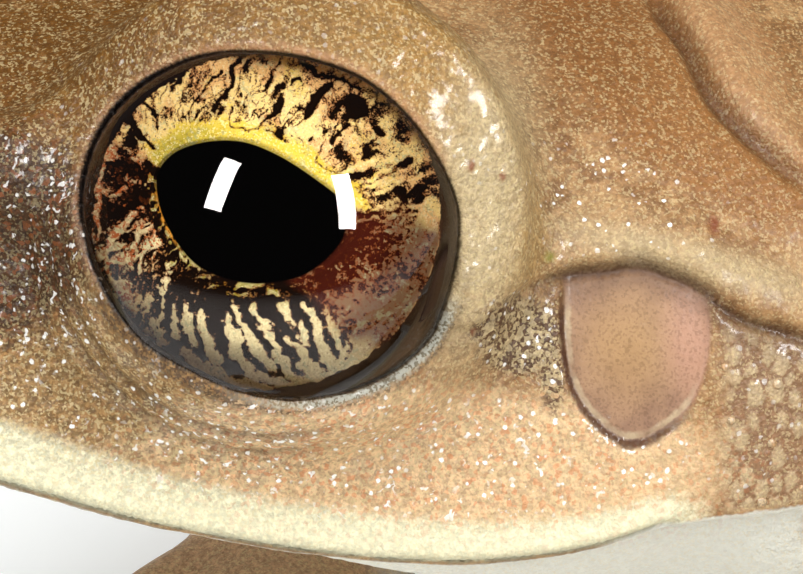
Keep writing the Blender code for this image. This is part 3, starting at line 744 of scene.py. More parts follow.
def split_long_edges(points, faces, target):
    """Halves each edge that is longer than its target, and the triangles beside it with it."""
    edges, which = edges_of(faces)
    middles = points[edges].mean(axis=1)
    lengths = np.linalg.norm(points[edges[:, 0]] - points[edges[:, 1]], axis=1)
    long = lengths > 1.35 * target(middles)
    names = np.full(len(edges), -1)
    names[long] = len(points) + np.arange(long.sum())
    points = np.concatenate([points, middles[long]])
    marks = long[which]
    count = marks.sum(axis=1)
    start = np.where(count == 1, marks.argmax(axis=1),
                     np.where(count == 2, (~marks).argmax(axis=1) + 1, 0)) % 3
    order = (start[:, None] + np.arange(3)) % 3
    corner = np.take_along_axis(faces, order, 1)
    middle = names[np.take_along_axis(which, order, 1)]
    v0, v1, v2 = corner.T
    m0, m1, m2 = middle.T

    def pick(number, *triangles):
        chosen = count == number
        return [np.stack([column[chosen] for column in triangle], 1) for triangle in triangles]

    pieces = pick(0, (v0, v1, v2)) + pick(1, (v0, m0, v2), (m0, v1, v2))
    pieces += pick(2, (m0, v1, m1), (v0, m0, m1), (v0, m1, v2))
    pieces += pick(3, (v0, m0, m2), (m0, v1, m1), (m2, m1, v2), (m0, m1, m2))
    return points, np.concatenate(pieces)


def evened(points, faces, share):
    """Moves each point towards the middle of its neighbours."""
    edges, _ = edges_of(faces)
    total, hits = np.zeros_like(points), np.zeros(len(points))
    for one, other in ((0, 1), (1, 0)):
        np.add.at(total, edges[:, one], points[edges[:, other]])
        np.add.at(hits, edges[:, one], 1.0)
    return points + share * (total / np.maximum(hits, 1.0)[:, None] - points)


def largest_shell(points, faces):
    """Keeps the largest connected part of a mesh."""
    label = np.arange(len(points))
    edges, _ = edges_of(faces)
    while True:
        lowest = label.copy()
        np.minimum.at(lowest, edges[:, 0], label[edges[:, 1]])
        np.minimum.at(lowest, edges[:, 1], label[edges[:, 0]])
        lowest = lowest[lowest]
        if (lowest == label).all():
            break
        label = lowest
    main = np.bincount(label[faces[:, 0]]).argmax()
    faces = faces[label[faces[:, 0]] == main]
    used = np.unique(faces)
    names = np.full(len(points), -1)
    names[used] = np.arange(len(used))
    return points[used], names[faces]


def normals_of(points, faces):
    """Unit normals of the points of a mesh of triangles."""
    a, b, c = (points[faces[:, i]] for i in range(3))
    face_normals = np.cross(b - a, c - a)
    normals = np.zeros_like(points)
    for i in range(3):
        np.add.at(normals, faces[:, i], face_normals)
    return normals / np.maximum(np.linalg.norm(normals, axis=1), 1e-12)[:, None]


def make_mesh(name, points, faces, attributes=()):
    """A smooth-shaded mesh object from arrays in millimetres."""
    mesh = bpy.data.meshes.new(name)
    mesh.from_pydata(((points + SHIFT) * MM).tolist(), [], faces.tolist())
    for key, values in dict(attributes).items():
        mesh.attributes.new(key, "FLOAT", "POINT").data.foreach_set("value", values.astype(np.float32))
    mesh.validate()
    mesh.shade_smooth()
    obj = bpy.data.objects.new(name, mesh)
    bpy.context.scene.collection.objects.link(obj)
    return obj


def line_distance(across, down, route):
    """Distance in pixels from a route of points on the photo, and how far along it, from 0 to 1."""
    best, place = np.full(len(across), 1e9), np.zeros(len(across))
    route = np.array(smooth_rows(route, 4))
    for i, (near, far) in enumerate(zip(route, route[1:])):
        step = far - near
        t = np.clip(((across - near[0]) * step[0] + (down - near[1]) * step[1]) / (step @ step), 0.0, 1.0)
        gap = np.hypot(across - near[0] - t * step[0], down - near[1] - t * step[1])
        closer = gap < best
        best[closer], place[closer] = gap[closer], (i + t[closer]) / (len(route) - 1)
    return best, place


def spot(across, down, centre, half_size, turn_deg=0.0, edge=0.5):
    """A soft oval on the photo: 1 inside, 0 outside."""
    c, s = math.cos(math.radians(turn_deg)), math.sin(math.radians(turn_deg))
    dx, dy = across - centre[0], down - centre[1]
    reach = np.hypot((c * dx + s * dy) / half_size[0], (c * dy - s * dx) / half_size[1])
    return 1 - soft_step(1 - edge, 1 + edge, reach)


def outline_reach(outline, hub, turns):
    """How far a closed outline on the photo lies from a hub, for each turn about it."""
    path = np.array(smooth_rows(outline + outline[:3], 6))[6:-6]
    offset = path - np.array(hub)
    turn = np.degrees(np.arctan2(-offset[:, 1], offset[:, 0])) % 360
    order = np.argsort(turn)
    return np.interp(turns, turn[order], np.hypot(*offset.T)[order], period=360)


def hashed(cells, seed):
    """A fixed random number from 0 to 1 for each row of whole numbers."""
    waves = np.sin(cells @ np.array([127.1, 311.7, 74.7])[:cells.shape[1]] + seed * 17.13) * 43758.5453
    return waves - np.floor(waves)


def soft_noise(points, size, seed, octaves=1):
    """Smooth noise from -1 to 1 over points of two or three coordinates."""
    dims = points.shape[1]
    total, share = np.zeros(len(points)), 1.0
    for octave in range(octaves):
        scaled = points / size * 2 ** octave + 19.7 * octave
        base = np.floor(scaled)
        t = scaled - base
        t = t * t * (3 - 2 * t)
        value = np.zeros(len(points))
        for corner in np.ndindex(*(2,) * dims):
            bits = np.array(corner)
            value += np.prod(np.where(bits, t, 1 - t), axis=1) * hashed(base + bits, seed + octave)
        total += share * (2 * value - 1)
        share *= 0.5
    return total / (2 - 2 * share)


def nearest_cells(points, seed):
    """Distances to the nearest two of a grid of jittered centres, and a random number of the nearest."""
    base = np.floor(points)
    dims = points.shape[1]
    first = np.full(len(points), 9.0)
    second, name = first.copy(), np.zeros(len(points))
    for step in np.ndindex(*(3,) * dims):
        cell = base + np.array(step) - 1
        centre = cell + np.stack([hashed(cell, seed + 31 * axis) for axis in range(dims)], 1)
        gap = np.linalg.norm(points - centre, axis=1)
        closer = gap < first
        second = np.where(closer, first, np.minimum(second, gap))
        name = np.where(closer, hashed(cell, seed + 97), name)
        first = np.minimum(first, gap)
    return first, second, name


def cobbles(points, size, seed):
    """Rounded bumps from 0 to 1, about one size apart."""
    first, second, name = nearest_cells(points / size, seed)
    dome = np.clip(1 - (first / (0.55 + 0.25 * name)) ** 2, 0.0, 1.0)
    return np.sqrt(dome) * soft_step(0.0, 0.25, second - first) * (0.55 + 0.45 * name)


def fineness(points):
    """How long the sides of the skin's triangles are to be at each place, in millimetres."""
    head = to_head(points)
    across, down = on_photo(head)
    beyond = np.maximum(np.maximum(-across, across - PHOTO_SIZE[0]), np.maximum(-down, down - PHOTO_SIZE[1]))
    beyond = np.maximum(beyond, 0.0) / PIXELS_PER_MM + 2.5 * np.maximum(0.8 - head[:, 0], 0.0)
    beyond += 0.6 * np.maximum((from_head(EYE_CENTRE) - points) @ view_axes()[2] - 3.5, 0.0)
    fine = FACE_SIDE + 0.24 * beyond
    back, up, out = from_eye(head)
    rim_gap = np.abs(np.hypot(back, up) - rim_reach(back, up))
    at_rim = LID_RIM_SIDE + 0.2 * np.maximum(rim_gap - 0.08, 0.0)
    fine = np.where((out > 0.3) & (rim_gap < 0.22), at_rim, fine)
    on_digit = (points[:, 2] < 2.0) & (np.abs(points[:, 0]) > 5.0)
    on_head = (points[:, 1] < -6.0) & (points[:, 2] > 5.0)
    coarse = np.where(on_digit, DIGIT_SIDE, np.where(on_head, HEAD_SIDE, BODY_SIDE))
    return np.minimum(fine, coarse)


def above_line(across, down, route):
    """How far above a line on the photo each point is, in pixels, and how far past its ends."""
    line = np.array(smooth_rows(route, 4))
    order = np.argsort(line[:, 0])
    height = np.interp(across, line[order, 0], line[order, 1]) - down
    past = np.maximum(line[:, 0].min() - across, across - line[:, 0].max())
    return height, np.maximum(past, 0.0)


def behind_neck(across, down):
    """How far behind the neck's fold each point on the photo is, in pixels."""
    return across - np.interp(down, *np.array(NECK_CREASE_ON_PHOTO).T[::-1])


def limb_bars(points):
    """Dark bars across the legs and arms, from 0 to 1."""
    nearest, bars = np.full(len(points), 99.0), np.zeros(len(points))
    uneven = soft_noise(points, 2.2, 41, 2)
    for side in (1, -1):
        limbs = [(on_side(rows, side), count) for rows, count in LEG_BARS]
        limbs += [(rows[side], count) for rows, count in ARM_BARS]
        for rows, count in limbs:
            place, gap = along_tube(points, rows)
            gap /= max(row[3] for row in rows)
            closer = gap < nearest
            nearest[closer] = gap[closer]
            wave = np.sin(2 * math.pi * (place * count + 0.2)) + 0.9 * uneven
            bars[closer] = soft_step(0.15, 0.6, wave)[closer]
    return bars * soft_step(1.7, 1.3, nearest)


def ear_masks(across, down, near_ear):
    """The ear's reach, which is 1 on its outline and less inside, and where its ring and line are drawn."""
    turn = np.degrees(np.arctan2(EAR_HUB[1] - down, across - EAR_HUB[0])) % 360
    reach = np.hypot(across - EAR_HUB[0], down - EAR_HUB[1])
    reach /= outline_reach(EAR_OUTLINE_ON_PHOTO, EAR_HUB, turn)
    low_ear = soft_step(285, 320, down)
    ring = soft_step(-10, 25, (down - EAR_HUB[1]) * 0.8 - (across - EAR_HUB[0]) + 30) * low_ear
    line = np.clip(soft_step(650, 560, across) * low_ear + soft_step(400, 440, down), 0, 1)
    return {"ear_reach": np.where(near_ear, np.clip(reach, 0.0, 2.0), 2.0), "ear_ring": ring,
            "ear_line": line}


def lid_edge_masks(left, across, down, on_head):
    """Bands of skin along the eye, by their distance from the lids' rim, with painted shade along the lower
    lid and at the lids' inner edge.
    """
    back, up, out = from_eye(left)
    gap = np.where(out > 0.4, np.hypot(back, up) - rim_reach(back, up), 9.0)
    low_lid = soft_step(0.6, -0.4, up - 0.55 * back) * on_head
    pale = soft_step(200, 330, across) * soft_step(285, 325, down)
    haw = soft_step(0.03, 0.06, gap) * soft_step(0.20, 0.16, gap) * low_lid * pale
    grey = soft_step(0.02, 0.05, gap) * soft_step(0.34, 0.24, gap) * (1 - pale) * soft_step(400, 250, across)
    shadow = np.clip(bell(gap - 0.22, 0.035) * soft_step(240, 320, down) + grey, 0, 1) * low_lid
    rim = 0.7 * soft_step(0.24, 0.06, gap) * (1 - low_lid) * on_head
    # The lids' inner edge: a band of painted shade where the lid meets the eye, wider on the snout's side
    wide = 0.05 + 0.05 * soft_step(260, 120, across)
    edge = soft_step(wide + 0.02, wide - 0.02, gap) * on_head * (1 - 0.9 * haw)
    return {"haw": haw, "shadow": shadow, "rim": rim, "edge": edge}


def skin_masks(points, normals):
    """Where each kind of skin lies, as numbers from 0 to 1 for each point."""
    head = to_head(points)
    across, down = on_photo(head)
    left = on_left(head)
    x, y, z = left.T
    on_head = soft_step(-6.0, -8.0, points[:, 1]) * soft_step(4.0, 5.5, points[:, 2])
    on_head = np.maximum(on_head, soft_step(3.2, 1.6, y) * soft_step(4.5, 6.5, points[:, 2]))
    side = soft_step(0.5, 1.6, x) * on_head
    over_mouth = (z - MOUTH(y)) * PIXELS_PER_MM
    masks = {}
    for name, ovals in PATCHES.items():
        masks[name] = np.maximum.reduce([share * spot(across, down, *oval) for share, *oval in ovals]) * side
    eye_reach = np.linalg.norm(left - EYE_CENTRE, axis=1)
    outside_eye = soft_step(2.7, 3.1, eye_reach)
    masks["lid"] = soft_step(4.3, 3.5, eye_reach) * soft_step(330, 250, down) * on_head
    band = soft_step(66, 22, over_mouth + 0.04 * (across - 350)) * soft_step(-10, 4, over_mouth)
    masks["lip"] = band * on_head * soft_step(3.0, 0.4, y) * soft_step(760, 640, across)
    near_ear = side * soft_step(-4.0, -3.0, y) * soft_step(4.0, 3.0, y)
    masks.update(ear_masks(across, down, near_ear > 0.3))
    masks.update(lid_edge_masks(left, across, down, on_head))

    # Underside, neck, crown, arms and back
    below_mouth = soft_step(2.0, 12.0, -over_mouth) * on_head
    belly = soft_step(0.15, -0.35, normals[:, 2]) * soft_step(-9.5, -8.0, points[:, 1])
    flank = soft_step(8.0, 5.0, points[:, 2]) * (np.abs(points[:, 0]) < 8.3) \
        * soft_step(-9.0, -7.5, points[:, 1])
    masks["under"] = np.clip(np.maximum(below_mouth, belly + 0.55 * flank), 0, 1)
    above, _ = above_line(across, down, EAR_CREASE_ON_PHOTO)
    behind = soft_step(706, 740, across) * soft_step(-4, 30, -above) * soft_step(8.0, 4.5, y)
    masks["coarse"] = np.clip(behind, 0, 1) * side * soft_step(-4, 10, over_mouth)
    neck_side = behind_neck(across, down)
    masks["nape"] = soft_step(-230, -40, neck_side) * soft_step(300, 200, down) * side
    masks["beyond"] = soft_step(0, 25, neck_side) * soft_step(330, 240, down) * side
    # The snout's olive-brown top, with painted shade that darkens the head and the upper lid towards the
    # top-left as the camera sees it
    masks["crown_and_shade"] = soft_step(560, 90, across + 1.2 * down) * soft_step(330, 200, down) * on_head
    masks["dim"] = soft_step(190, 40, down) * soft_step(450, 530, across) * soft_step(710, 610, across) * side
    masks["arm"] = (1 - on_head) * soft_step(1.0, -9.0, points[:, 1]) * soft_step(9.0, 6.0, points[:, 2])
    masks["bars"] = limb_bars(points) * (1 - on_head) * (1 - 0.4 * masks["arm"])
    blotch = soft_noise(points * np.array([1.0, 0.7, 1.0]), 4.6, 51, 3)
    masks["marks"] = soft_step(0.02, 0.22, blotch) * soft_step(-7.0, -3.0, points[:, 1]) \
        * soft_step(0.0, 0.5, normals[:, 2]) * (np.abs(points[:, 0]) < 8.0)

    # Where tubercles stand, how grainy and how wet the skin is, and where sparkles are painted on it
    masks["bumps"] = masks["coarse"] * (masks["ear_reach"] > 1.2)
    far = soft_step(3.5, 8.0, eye_reach)
    grit = 0.65 + 0.4 * masks["lore"] + 0.35 * masks["brown"] + 0.05 * masks["warm"] - 0.3 * masks["lip"]
    grit -= 0.2 * masks["cheek"]
    masks["grit"] = np.clip(grit * (1 - 0.45 * far * on_head) - 0.35 * masks["under"], 0.1, 1.0)
    glint = np.maximum.reduce([masks["lore"], 0.8 * masks["brown"], 0.85 * masks["warm"], masks["patch"],
                               0.8 * spot(across, down, (615, 205), (100, 62), 14, 0.6) * side,
                               0.4 * masks["coarse"], 0.3 * masks["lid"]])
    masks["glint"] = glint * (1 - masks["lip"]) * (masks["ear_reach"] > 1.05) * outside_eye
    return masks


def skin_relief(points, masks):
    """Heights that raise and sink the skin, where shade is painted in its folds and in its mouth's line, and
    where its big grains lie.
    """
    head = to_head(points)
    across, down = on_photo(head)
    left = on_left(head)
    x, y, z = left.T
    fine = soft_step(0.16, 0.09, fineness(points))
    over_mouth = z - MOUTH(y)
    on_head = soft_step(3.0, 1.5, y) * soft_step(4.5, 5.5, points[:, 2])
    in_mouth = on_head * soft_step(0.35, -0.1, y)
    width = np.where(fine > 0.5, 0.075, 0.17)
    crease = in_mouth * bell(over_mouth, width)
    height = -MOUTH_DEPTH * crease + LIP_RISE * in_mouth * bell(over_mouth - 0.17, 0.14)
    ear = masks["ear_reach"]
    drum = soft_step(1.04, 0.94, ear)
    groove = bell(ear - 1.0, 0.05) * masks["ear_line"]
    height += -DRUM_DEPTH * drum - EAR_GROOVE_DEPTH * groove + DRUM_BULGE * drum * bell(ear, 0.5)
    above, past = above_line(across, down, EAR_CREASE_ON_PHOTO)
    at_ear = on_head * soft_step(-4.4, -2.9, y) * bell(past, 90.0) * soft_step(0.8, 2.0, x)
    at_ear *= 0.35 + 0.65 * soft_step(520, 580, across)
    fold_groove = bell(above + 1.0, 6.0) * at_ear
    fold_ridge = soft_step(-3, 16, above) * soft_step(90, 24, above) * at_ear
    height += -EAR_FOLD_DEPTH * fold_groove + EAR_FOLD_HEIGHT * fold_ridge
    neck, _ = line_distance(across, down, NECK_CREASE_ON_PHOTO)
    side = on_head * soft_step(1.0, 2.2, x)
    neck_side = behind_neck(across, down)
    neck_groove = bell(neck, 8.0) * side
    neck_ridge = soft_step(0, 34, neck_side) * soft_step(110, 34, neck_side) * side
    height += -NECK_FOLD_DEPTH * neck_groove + NECK_FOLD_HEIGHT * neck_ridge * soft_step(320, 220, down)
    back, up, out = from_eye(left)
    from_axis = np.hypot(back, up)
    lower = soft_step(0.3, -0.9, up) * soft_step(1.9, 0.4, back) * on_head
    rolls = bell(from_axis - 2.96, 0.06) + 0.8 * bell(from_axis - 3.18, 0.06)
    rolls += 0.5 * bell(from_axis - 3.5, 0.1)
    lid_grooves = rolls * lower * (out > 0.2)
    height -= LID_GROOVE_DEPTH * lid_grooves
    near_rim = soft_step(2.9, 2.65, from_axis) * on_head * (out > 0.5)
    bare = np.clip(drum + near_rim + crease, 0, 1)
    coarse = masks["coarse"] * (1 - bare)
    big = cobbles(points * np.array([1.0, 1.0, 0.6]), 0.25, 5)
    small = cobbles(points, 0.19, 8) * fine * (1 - bare) * (1 - coarse)
    rough = 0.5 + masks["brown"] + masks["warm"] + masks["lore"] + masks["patch"] + 0.6 * masks["lid"]
    height += SMALL_GRAIN_HEIGHT * small * np.clip(rough, 0, 1.7) + BIG_GRAIN_HEIGHT * big * coarse
    wide = soft_noise(points, 0.9, 3, 2) * (1 - bare)
    height += UNEVENNESS * wide * (0.3 + 0.7 * fine)
    # Where shade is painted: the ear's groove and fold, a soft shadow under the ear's fold, and the grooves
    # of the neck and the lower lid
    fold = 0.6 * groove + fold_groove + 0.5 * bell(above + 14, 14.0) * at_ear
    fold = np.clip(fold + 0.9 * neck_groove + 0.65 * lid_grooves, 0, 1)
    return height, fold, crease, big


def skin_arrays():
    """Points and faces of the skin, with what its material reads at each point."""
    points, faces = surface_net(SKIN_BOX_LOW, SKIN_BOX_HIGH, SKIN_GRID)
    points, faces = largest_shell(settle(points), faces)
    for _ in range(SKIN_SPLITS):
        points, faces = split_long_edges(points, faces, fineness)
        points = settle(evened(points, faces, 0.4))
    normals = normals_of(points, faces)
    masks = skin_masks(points, normals)
    # The fold and mouth masks say where the material paints shade into creases
    height, masks["fold"], masks["mouth"], masks["big"] = skin_relief(points, masks)
    points = points + normals * height[:, None]
    points[:, 2] = np.maximum(points[:, 2], FLOOR_LEVEL)
    return points, faces, masks


def from_photo(red, green, blue):
    """A colour that was named in screen values of 0 to 255, as light."""
    shares = (value / 255 for value in (red, green, blue))
    return tuple(share / 12.92 if share <= 0.04045 else ((share + 0.055) / 1.055) ** 2.4 for share in shares)


class Socket:
    """A number in a shader graph, which Python's arithmetic turns into Math nodes."""

    def __init__(self, graph, socket):
        self.graph, self.socket = graph, socket

    def __add__(self, other):
        return self.graph.reckon("ADD", self, other)

    def __sub__(self, other):
        return self.graph.reckon("SUBTRACT", self, other)

    def __rsub__(self, other):
        return self.graph.reckon("SUBTRACT", other, self)

    def __mul__(self, other):
        return self.graph.reckon("MULTIPLY", self, other)

    __radd__ = __add__
    __rmul__ = __mul__


class Graph:
    """The nodes of one material."""

    def __init__(self, name):
        self.material = bpy.data.materials.new(name)
        self.material.use_nodes = True
        self.tree = self.material.node_tree
        self.tree.nodes.clear()

    def node(self, kind, settings=None, values=None, output=0):
        """Adds a node, sets it up, fills its sockets with values or links, and gives one of its outputs."""
        made = self.tree.nodes.new(kind)
        for key, value in (settings or {}).items():
            setattr(made, key, value)
        for key, value in (values or {}).items():
            if isinstance(value, Socket):
                self.tree.links.new(value.socket, made.inputs[key])
            else:
                made.inputs[key].default_value = value
        return Socket(self, made.outputs[output]) if made.outputs else made

    def reckon(self, operation, *values):
        return self.node("ShaderNodeMath", {"operation": operation}, dict(enumerate(values)))

    def least(self, a, b):
        return self.reckon("MINIMUM", a, b)

    def step(self, low, high, x):
        """0 below low, 1 above high and smooth between, or the other way round where low is the greater."""
        rising = low < high
        return self.node("ShaderNodeMapRange", {"interpolation_type": "SMOOTHSTEP", "clamp": True},
                         {"Value": x, "From Min": min(low, high), "From Max": max(low, high),
                          "To Min": 0.0 if rising else 1.0, "To Max": 1.0 if rising else 0.0})

    def read(self, name):
        """A number that the mesh carries at each point."""
        return self.node("ShaderNodeAttribute", {"attribute_name": name}, output="Fac")

    def place(self, scale=1 / MM):
        """The place on the piece, in millimetres unless a scale says otherwise."""
        where = self.node("ShaderNodeTexCoord", output="Object")
        return self.node("ShaderNodeMapping", None, {"Vector": where, "Scale": (scale,) * 3})

    def noise(self, where, size, detail=2.0, roughness=0.55, warp=0.0):
        return self.node("ShaderNodeTexNoise", None, {"Vector": where, "Scale": 1 / size, "Detail": detail,
                                                      "Roughness": roughness, "Distortion": warp}, "Fac")

    def grains(self, where, size):
        """Distance to the nearest of many scattered grains, and a random number of that grain."""
        nearest = self.node("ShaderNodeTexVoronoi", None, {"Vector": where, "Scale": 1 / size}, "Distance")
        colour = Socket(self, nearest.socket.node.outputs["Color"])
        return nearest, self.node("ShaderNodeSeparateColor", None, {"Color": colour}, "Red")

    def blend(self, factor, a, b, kind="MIX"):
        """One colour over another."""
        made = self.tree.nodes.new("ShaderNodeMix")
        made.data_type, made.blend_type = "RGBA", kind
        for key, value in ((0, factor), (6, a), (7, b)):
            if isinstance(value, Socket):
                self.tree.links.new(value.socket, made.inputs[key])
            else:
                made.inputs[key].default_value = value if key == 0 else (*value[:3], 1.0)
        return Socket(self, made.outputs[2])

    def bump(self, height, depth, strength):
        return self.node("ShaderNodeBump", None, {"Height": height, "Distance": depth, "Strength": strength})

    def finish(self, shader):
        out = self.tree.nodes.new("ShaderNodeOutputMaterial")
        self.tree.links.new(shader.socket, out.inputs["Surface"])
        return self.material


def eardrum_colour(g, looks, mm, seed_tone):
    """The mottled skin of the eardrum, warm in the middle and pink behind."""
    tone = g.blend(g.step(0.38, 0.62, g.noise(mm, 0.5, 3.0, 0.6)), looks.ear_colour, looks.ear_dark_colour)
    tone = g.blend(g.read("ear_warm") * 0.7, tone, looks.ear_warm_colour)
    tone = g.blend(g.read("ear_pink") * 0.8, tone, looks.ear_pink_colour)
    return g.blend(g.step(0.6, 0.9, seed_tone) * 0.25, tone, looks.speck_colour)


def painted_sparkles(g, mm, lore, glint, freckle, patches):
    """Where highlights of the wet grain are painted, as thin curls and as dots."""
    squiggle = g.reckon("ABSOLUTE", g.noise(mm, 0.23, 2.0, 0.5, 0.6) - 0.5)
    threads = g.step(0.06, 0.025, squiggle) * g.step(0.61, 0.66, g.noise(mm, 0.13, 1.0, 0.5)) \
        * g.step(0.3, 0.8, lore * 0.8 + g.read("warm") * 0.55 + g.read("brown") * 0.35 + (patches - 0.5))
    dot_reach, dot_name = g.grains(mm, 0.12)
    dots = g.step(0.32, 0.18, dot_reach + (freckle - 0.5)) * g.step(0.7, 0.76, dot_name)
    return g.least(threads + dots * g.step(0.1, 0.9, glint + (patches - 0.5) * 0.8), 1.0)


def skin_material(looks):
    """Wet, granular skin: its colours follow the places that the mesh carries, broken up by noise."""
    g = Graph("frog_skin")
    mm = g.place()
    broad = g.noise(mm, 1.6, 2.0, 0.6)
    patches = g.noise(mm, 0.42, 3.0, 0.62, 0.4)
    freckle = g.noise(mm, 0.12, 3.0, 0.6)
    _, seed_tone = g.grains(mm, SEED_GRAIN)
    _, grain_tone = g.grains(mm, SKIN_GRAIN)
    fold, grit, lore, glint = g.read("fold"), g.read("grit"), g.read("lore"), g.read("glint")
    ear, coarse, big = g.read("ear_reach"), g.read("coarse"), g.read("big")
    broken = (patches - 0.5) * 0.55 + (freckle - 0.5) * 0.45 + (seed_tone - 0.5) * 0.18

    def over(below, name, colour, spread=1.0, strength=1.0):
        return g.blend(g.step(0.2, 0.8, g.read(name) + broken * spread) * strength, below, colour)

    # Broad colours, one over another
    colour = g.blend(g.step(0.40, 0.64, patches + (broad - 0.5) * 0.8), looks.back_colour,
                     looks.mottle_colour)
    colour = g.blend(g.read("arm") * 0.75, colour, looks.arm_colour)
    colour = over(colour, "marks", looks.mark_colour, 1.0, 0.8)
    colour = over(colour, "bars", looks.mark_colour, 0.8, 0.7)
    colour = over(colour, "nape", looks.nape_colour, 0.5)
    colour = over(colour, "beyond", looks.beyond_colour, 0.5)
    colour = over(colour, "lid", looks.lid_colour, 0.6)
    colour = g.blend(g.read("dim") * 0.75, colour, looks.dim_colour)
    # The crown's colour, also painted as shade towards the top-left
    colour = g.blend(g.read("crown_and_shade") * g.step(0.2, 0.6, patches + 0.1), colour, looks.crown_and_shade_colour)
    colour = g.blend(g.read("cheek") * g.step(0.3, 0.6, patches + 0.15), colour, looks.cheek_colour)
    colour = over(colour, "brown", looks.lore_light_colour)
    colour = over(colour, "warm", looks.peach_colour)
    colour = over(colour, "lore", looks.lore_colour)
    # Coarse grains behind the ear: pale tops, with painted shade in the grooves between them
    pebbles = g.blend(g.step(0.1, 0.55, big + (freckle - 0.5) * 0.6), looks.grain_gap_shade_colour, looks.grain_colour)
    colour = g.blend(coarse * g.step(0.25, 0.5, patches + 0.1), colour, pebbles)
    granules = g.blend(g.step(0.5, 0.66, grain_tone * 0.7 + freckle * 0.3), looks.patch_colour,
                       looks.cheek_colour)
    colour = over(colour, "patch", granules, 1.2)
    colour = over(colour, "under", looks.belly_colour, 0.4)
    colour = over(colour, "lip", looks.lip_colour, 0.7)

    # Grain and flecks
    speckle = seed_tone * 0.5 + grain_tone * 0.28 + freckle * 0.22
    colour = g.blend(grit, colour, 0.3 + speckle * 1.35, "MULTIPLY")
    clump = g.noise(mm, 0.1, 1.0, 0.5, 0.5)
    colour = g.blend(grit, colour, 0.66 + g.step(0.38, 0.62, clump) * 0.5, "MULTIPLY")
    light_fleck = g.step(0.40, 0.2, seed_tone * 0.7 + grain_tone * 0.3) * (0.3 + grit * 0.5)
    colour = g.blend(light_fleck * (0.6 - lore * 0.38), colour, looks.gold_colour)
    dark_fleck = g.step(0.56, 0.8, seed_tone * 0.6 + grain_tone * 0.25 + freckle * 0.35 - 0.05) * grit
    colour = g.blend(dark_fleck * 0.6, colour, looks.speck_colour)
    ember = g.step(0.62, 0.85, grain_tone * 0.7 + patches * 0.3) * (g.read("warm") + lore * 0.5)
    colour = g.blend(ember * 0.45, colour, looks.ember_colour)

    # Small marks, and the skin along the eye
    colour = g.blend(g.read("red") * 0.85, colour, looks.red_colour)
    colour = g.blend(g.read("green") * 0.8, colour, looks.olive_colour)
    # Painted shade along the lower lid
    colour = g.blend(g.read("shadow") * g.step(0.8, 0.4, seed_tone) * 0.8, colour, looks.crease_shade_colour)
    haw_tone = g.blend(g.step(0.5, 0.62, seed_tone * 0.7 + freckle * 0.3), looks.haw_colour,
                       looks.haw_dark_colour)
    colour = g.blend(g.read("haw") * 0.92, colour, haw_tone)
    colour = g.blend(g.read("rim") * (0.35 + grain_tone * 0.5), colour, looks.rim_colour)

    # Eardrum, its pale ring and the dark line round it
    drum = g.step(1.03, 0.96, ear)
    colour = g.blend(drum, colour, eardrum_colour(g, looks, mm, seed_tone))
    frayed = ear + (freckle - 0.5) * 0.06 + (patches - 0.5) * 0.05
    ring = g.step(0.87, 0.92, frayed) * g.step(0.985, 0.95, frayed) * g.read("ear_ring")
    colour = g.blend(ring * g.step(0.2, 0.8, patches) * 0.6, colour, looks.ring_colour)
    line = g.step(0.955, 0.995, frayed) * g.step(1.09, 1.03, frayed) * g.read("ear_line")
    colour = g.blend(line * g.step(0.2, 0.45, patches) * 0.85, colour, looks.ear_line_colour)

    # Painted shade in the folds, in the mouth's line and at the lids' inner edge, then painted highlights of
    # the wet grain
    colour = g.blend(fold * 0.75, colour, looks.crease_shade_colour)
    # Painted shade at the bottom of the mouth's line
    colour = g.blend(g.read("mouth") * g.step(0.3, 0.5, patches) * 0.75, colour, looks.mouth_line_shade_colour)
    # Painted shade at the lids' inner edge
    colour = g.blend(g.read("edge"), colour, looks.lid_edge_shade_colour)
    # Painted highlights of the wet grain
    painted_sparkle = painted_sparkles(g, mm, lore, glint, freckle, patches)
    colour = g.blend(painted_sparkle * (1 - lore * 0.35), colour, looks.painted_sparkle_and_grain_colour)

    # Relief, and how rough and wet the skin is
    height = g.noise(mm, 0.075, 2.0, 0.55) * 1.2 + seed_tone * 0.1
    normal = g.bump(height * (1 - drum * 0.7), looks.grain_height, 0.9)
    rough = 0.5 + (freckle - 0.5) * 0.3 - painted_sparkle * 0.3
    wet = g.step(0.42, 0.6, patches) * (0.04 + glint * (0.6 - lore * 0.5))
    shader = g.node("ShaderNodeBsdfPrincipled", None, {
        "Base Color": colour, "Roughness": rough, "Normal": normal, "Coat Weight": wet,
        "Coat Roughness": 0.12, "IOR": SKIN_IOR, "Specular IOR Level": 0.25})
    return g.finish(shader)


def tubercle_material(looks):
    """Pale tops of the largest grains, mottled like the skin round them."""
    g = Graph("frog_tubercles")
    mm = g.place()
    tone = g.blend(g.step(0.4, 0.6, g.noise(mm, 0.2, 3.0, 0.6)), looks.back_colour, looks.grain_colour)
    _, speckle = g.grains(mm, SEED_GRAIN)
    tone = g.blend(0.6, tone, 0.4 + speckle * 1.1, "MULTIPLY")
    normal = g.bump(g.noise(mm, 0.06, 2.0, 0.5), looks.grain_height, 0.6)
    shader = g.node("ShaderNodeBsdfPrincipled", None, {
        "Base Color": tone, "Roughness": 0.45 + speckle * 0.2, "Normal": normal, "Coat Weight": 0.2,
        "Coat Roughness": 0.15})
    return g.finish(shader)


# The eyes: side, name, points round each ring and rings of the iris; the camera is close to the left one
EYES = [(1, "left", 820, 88), (-1, "right", 420, 46)]
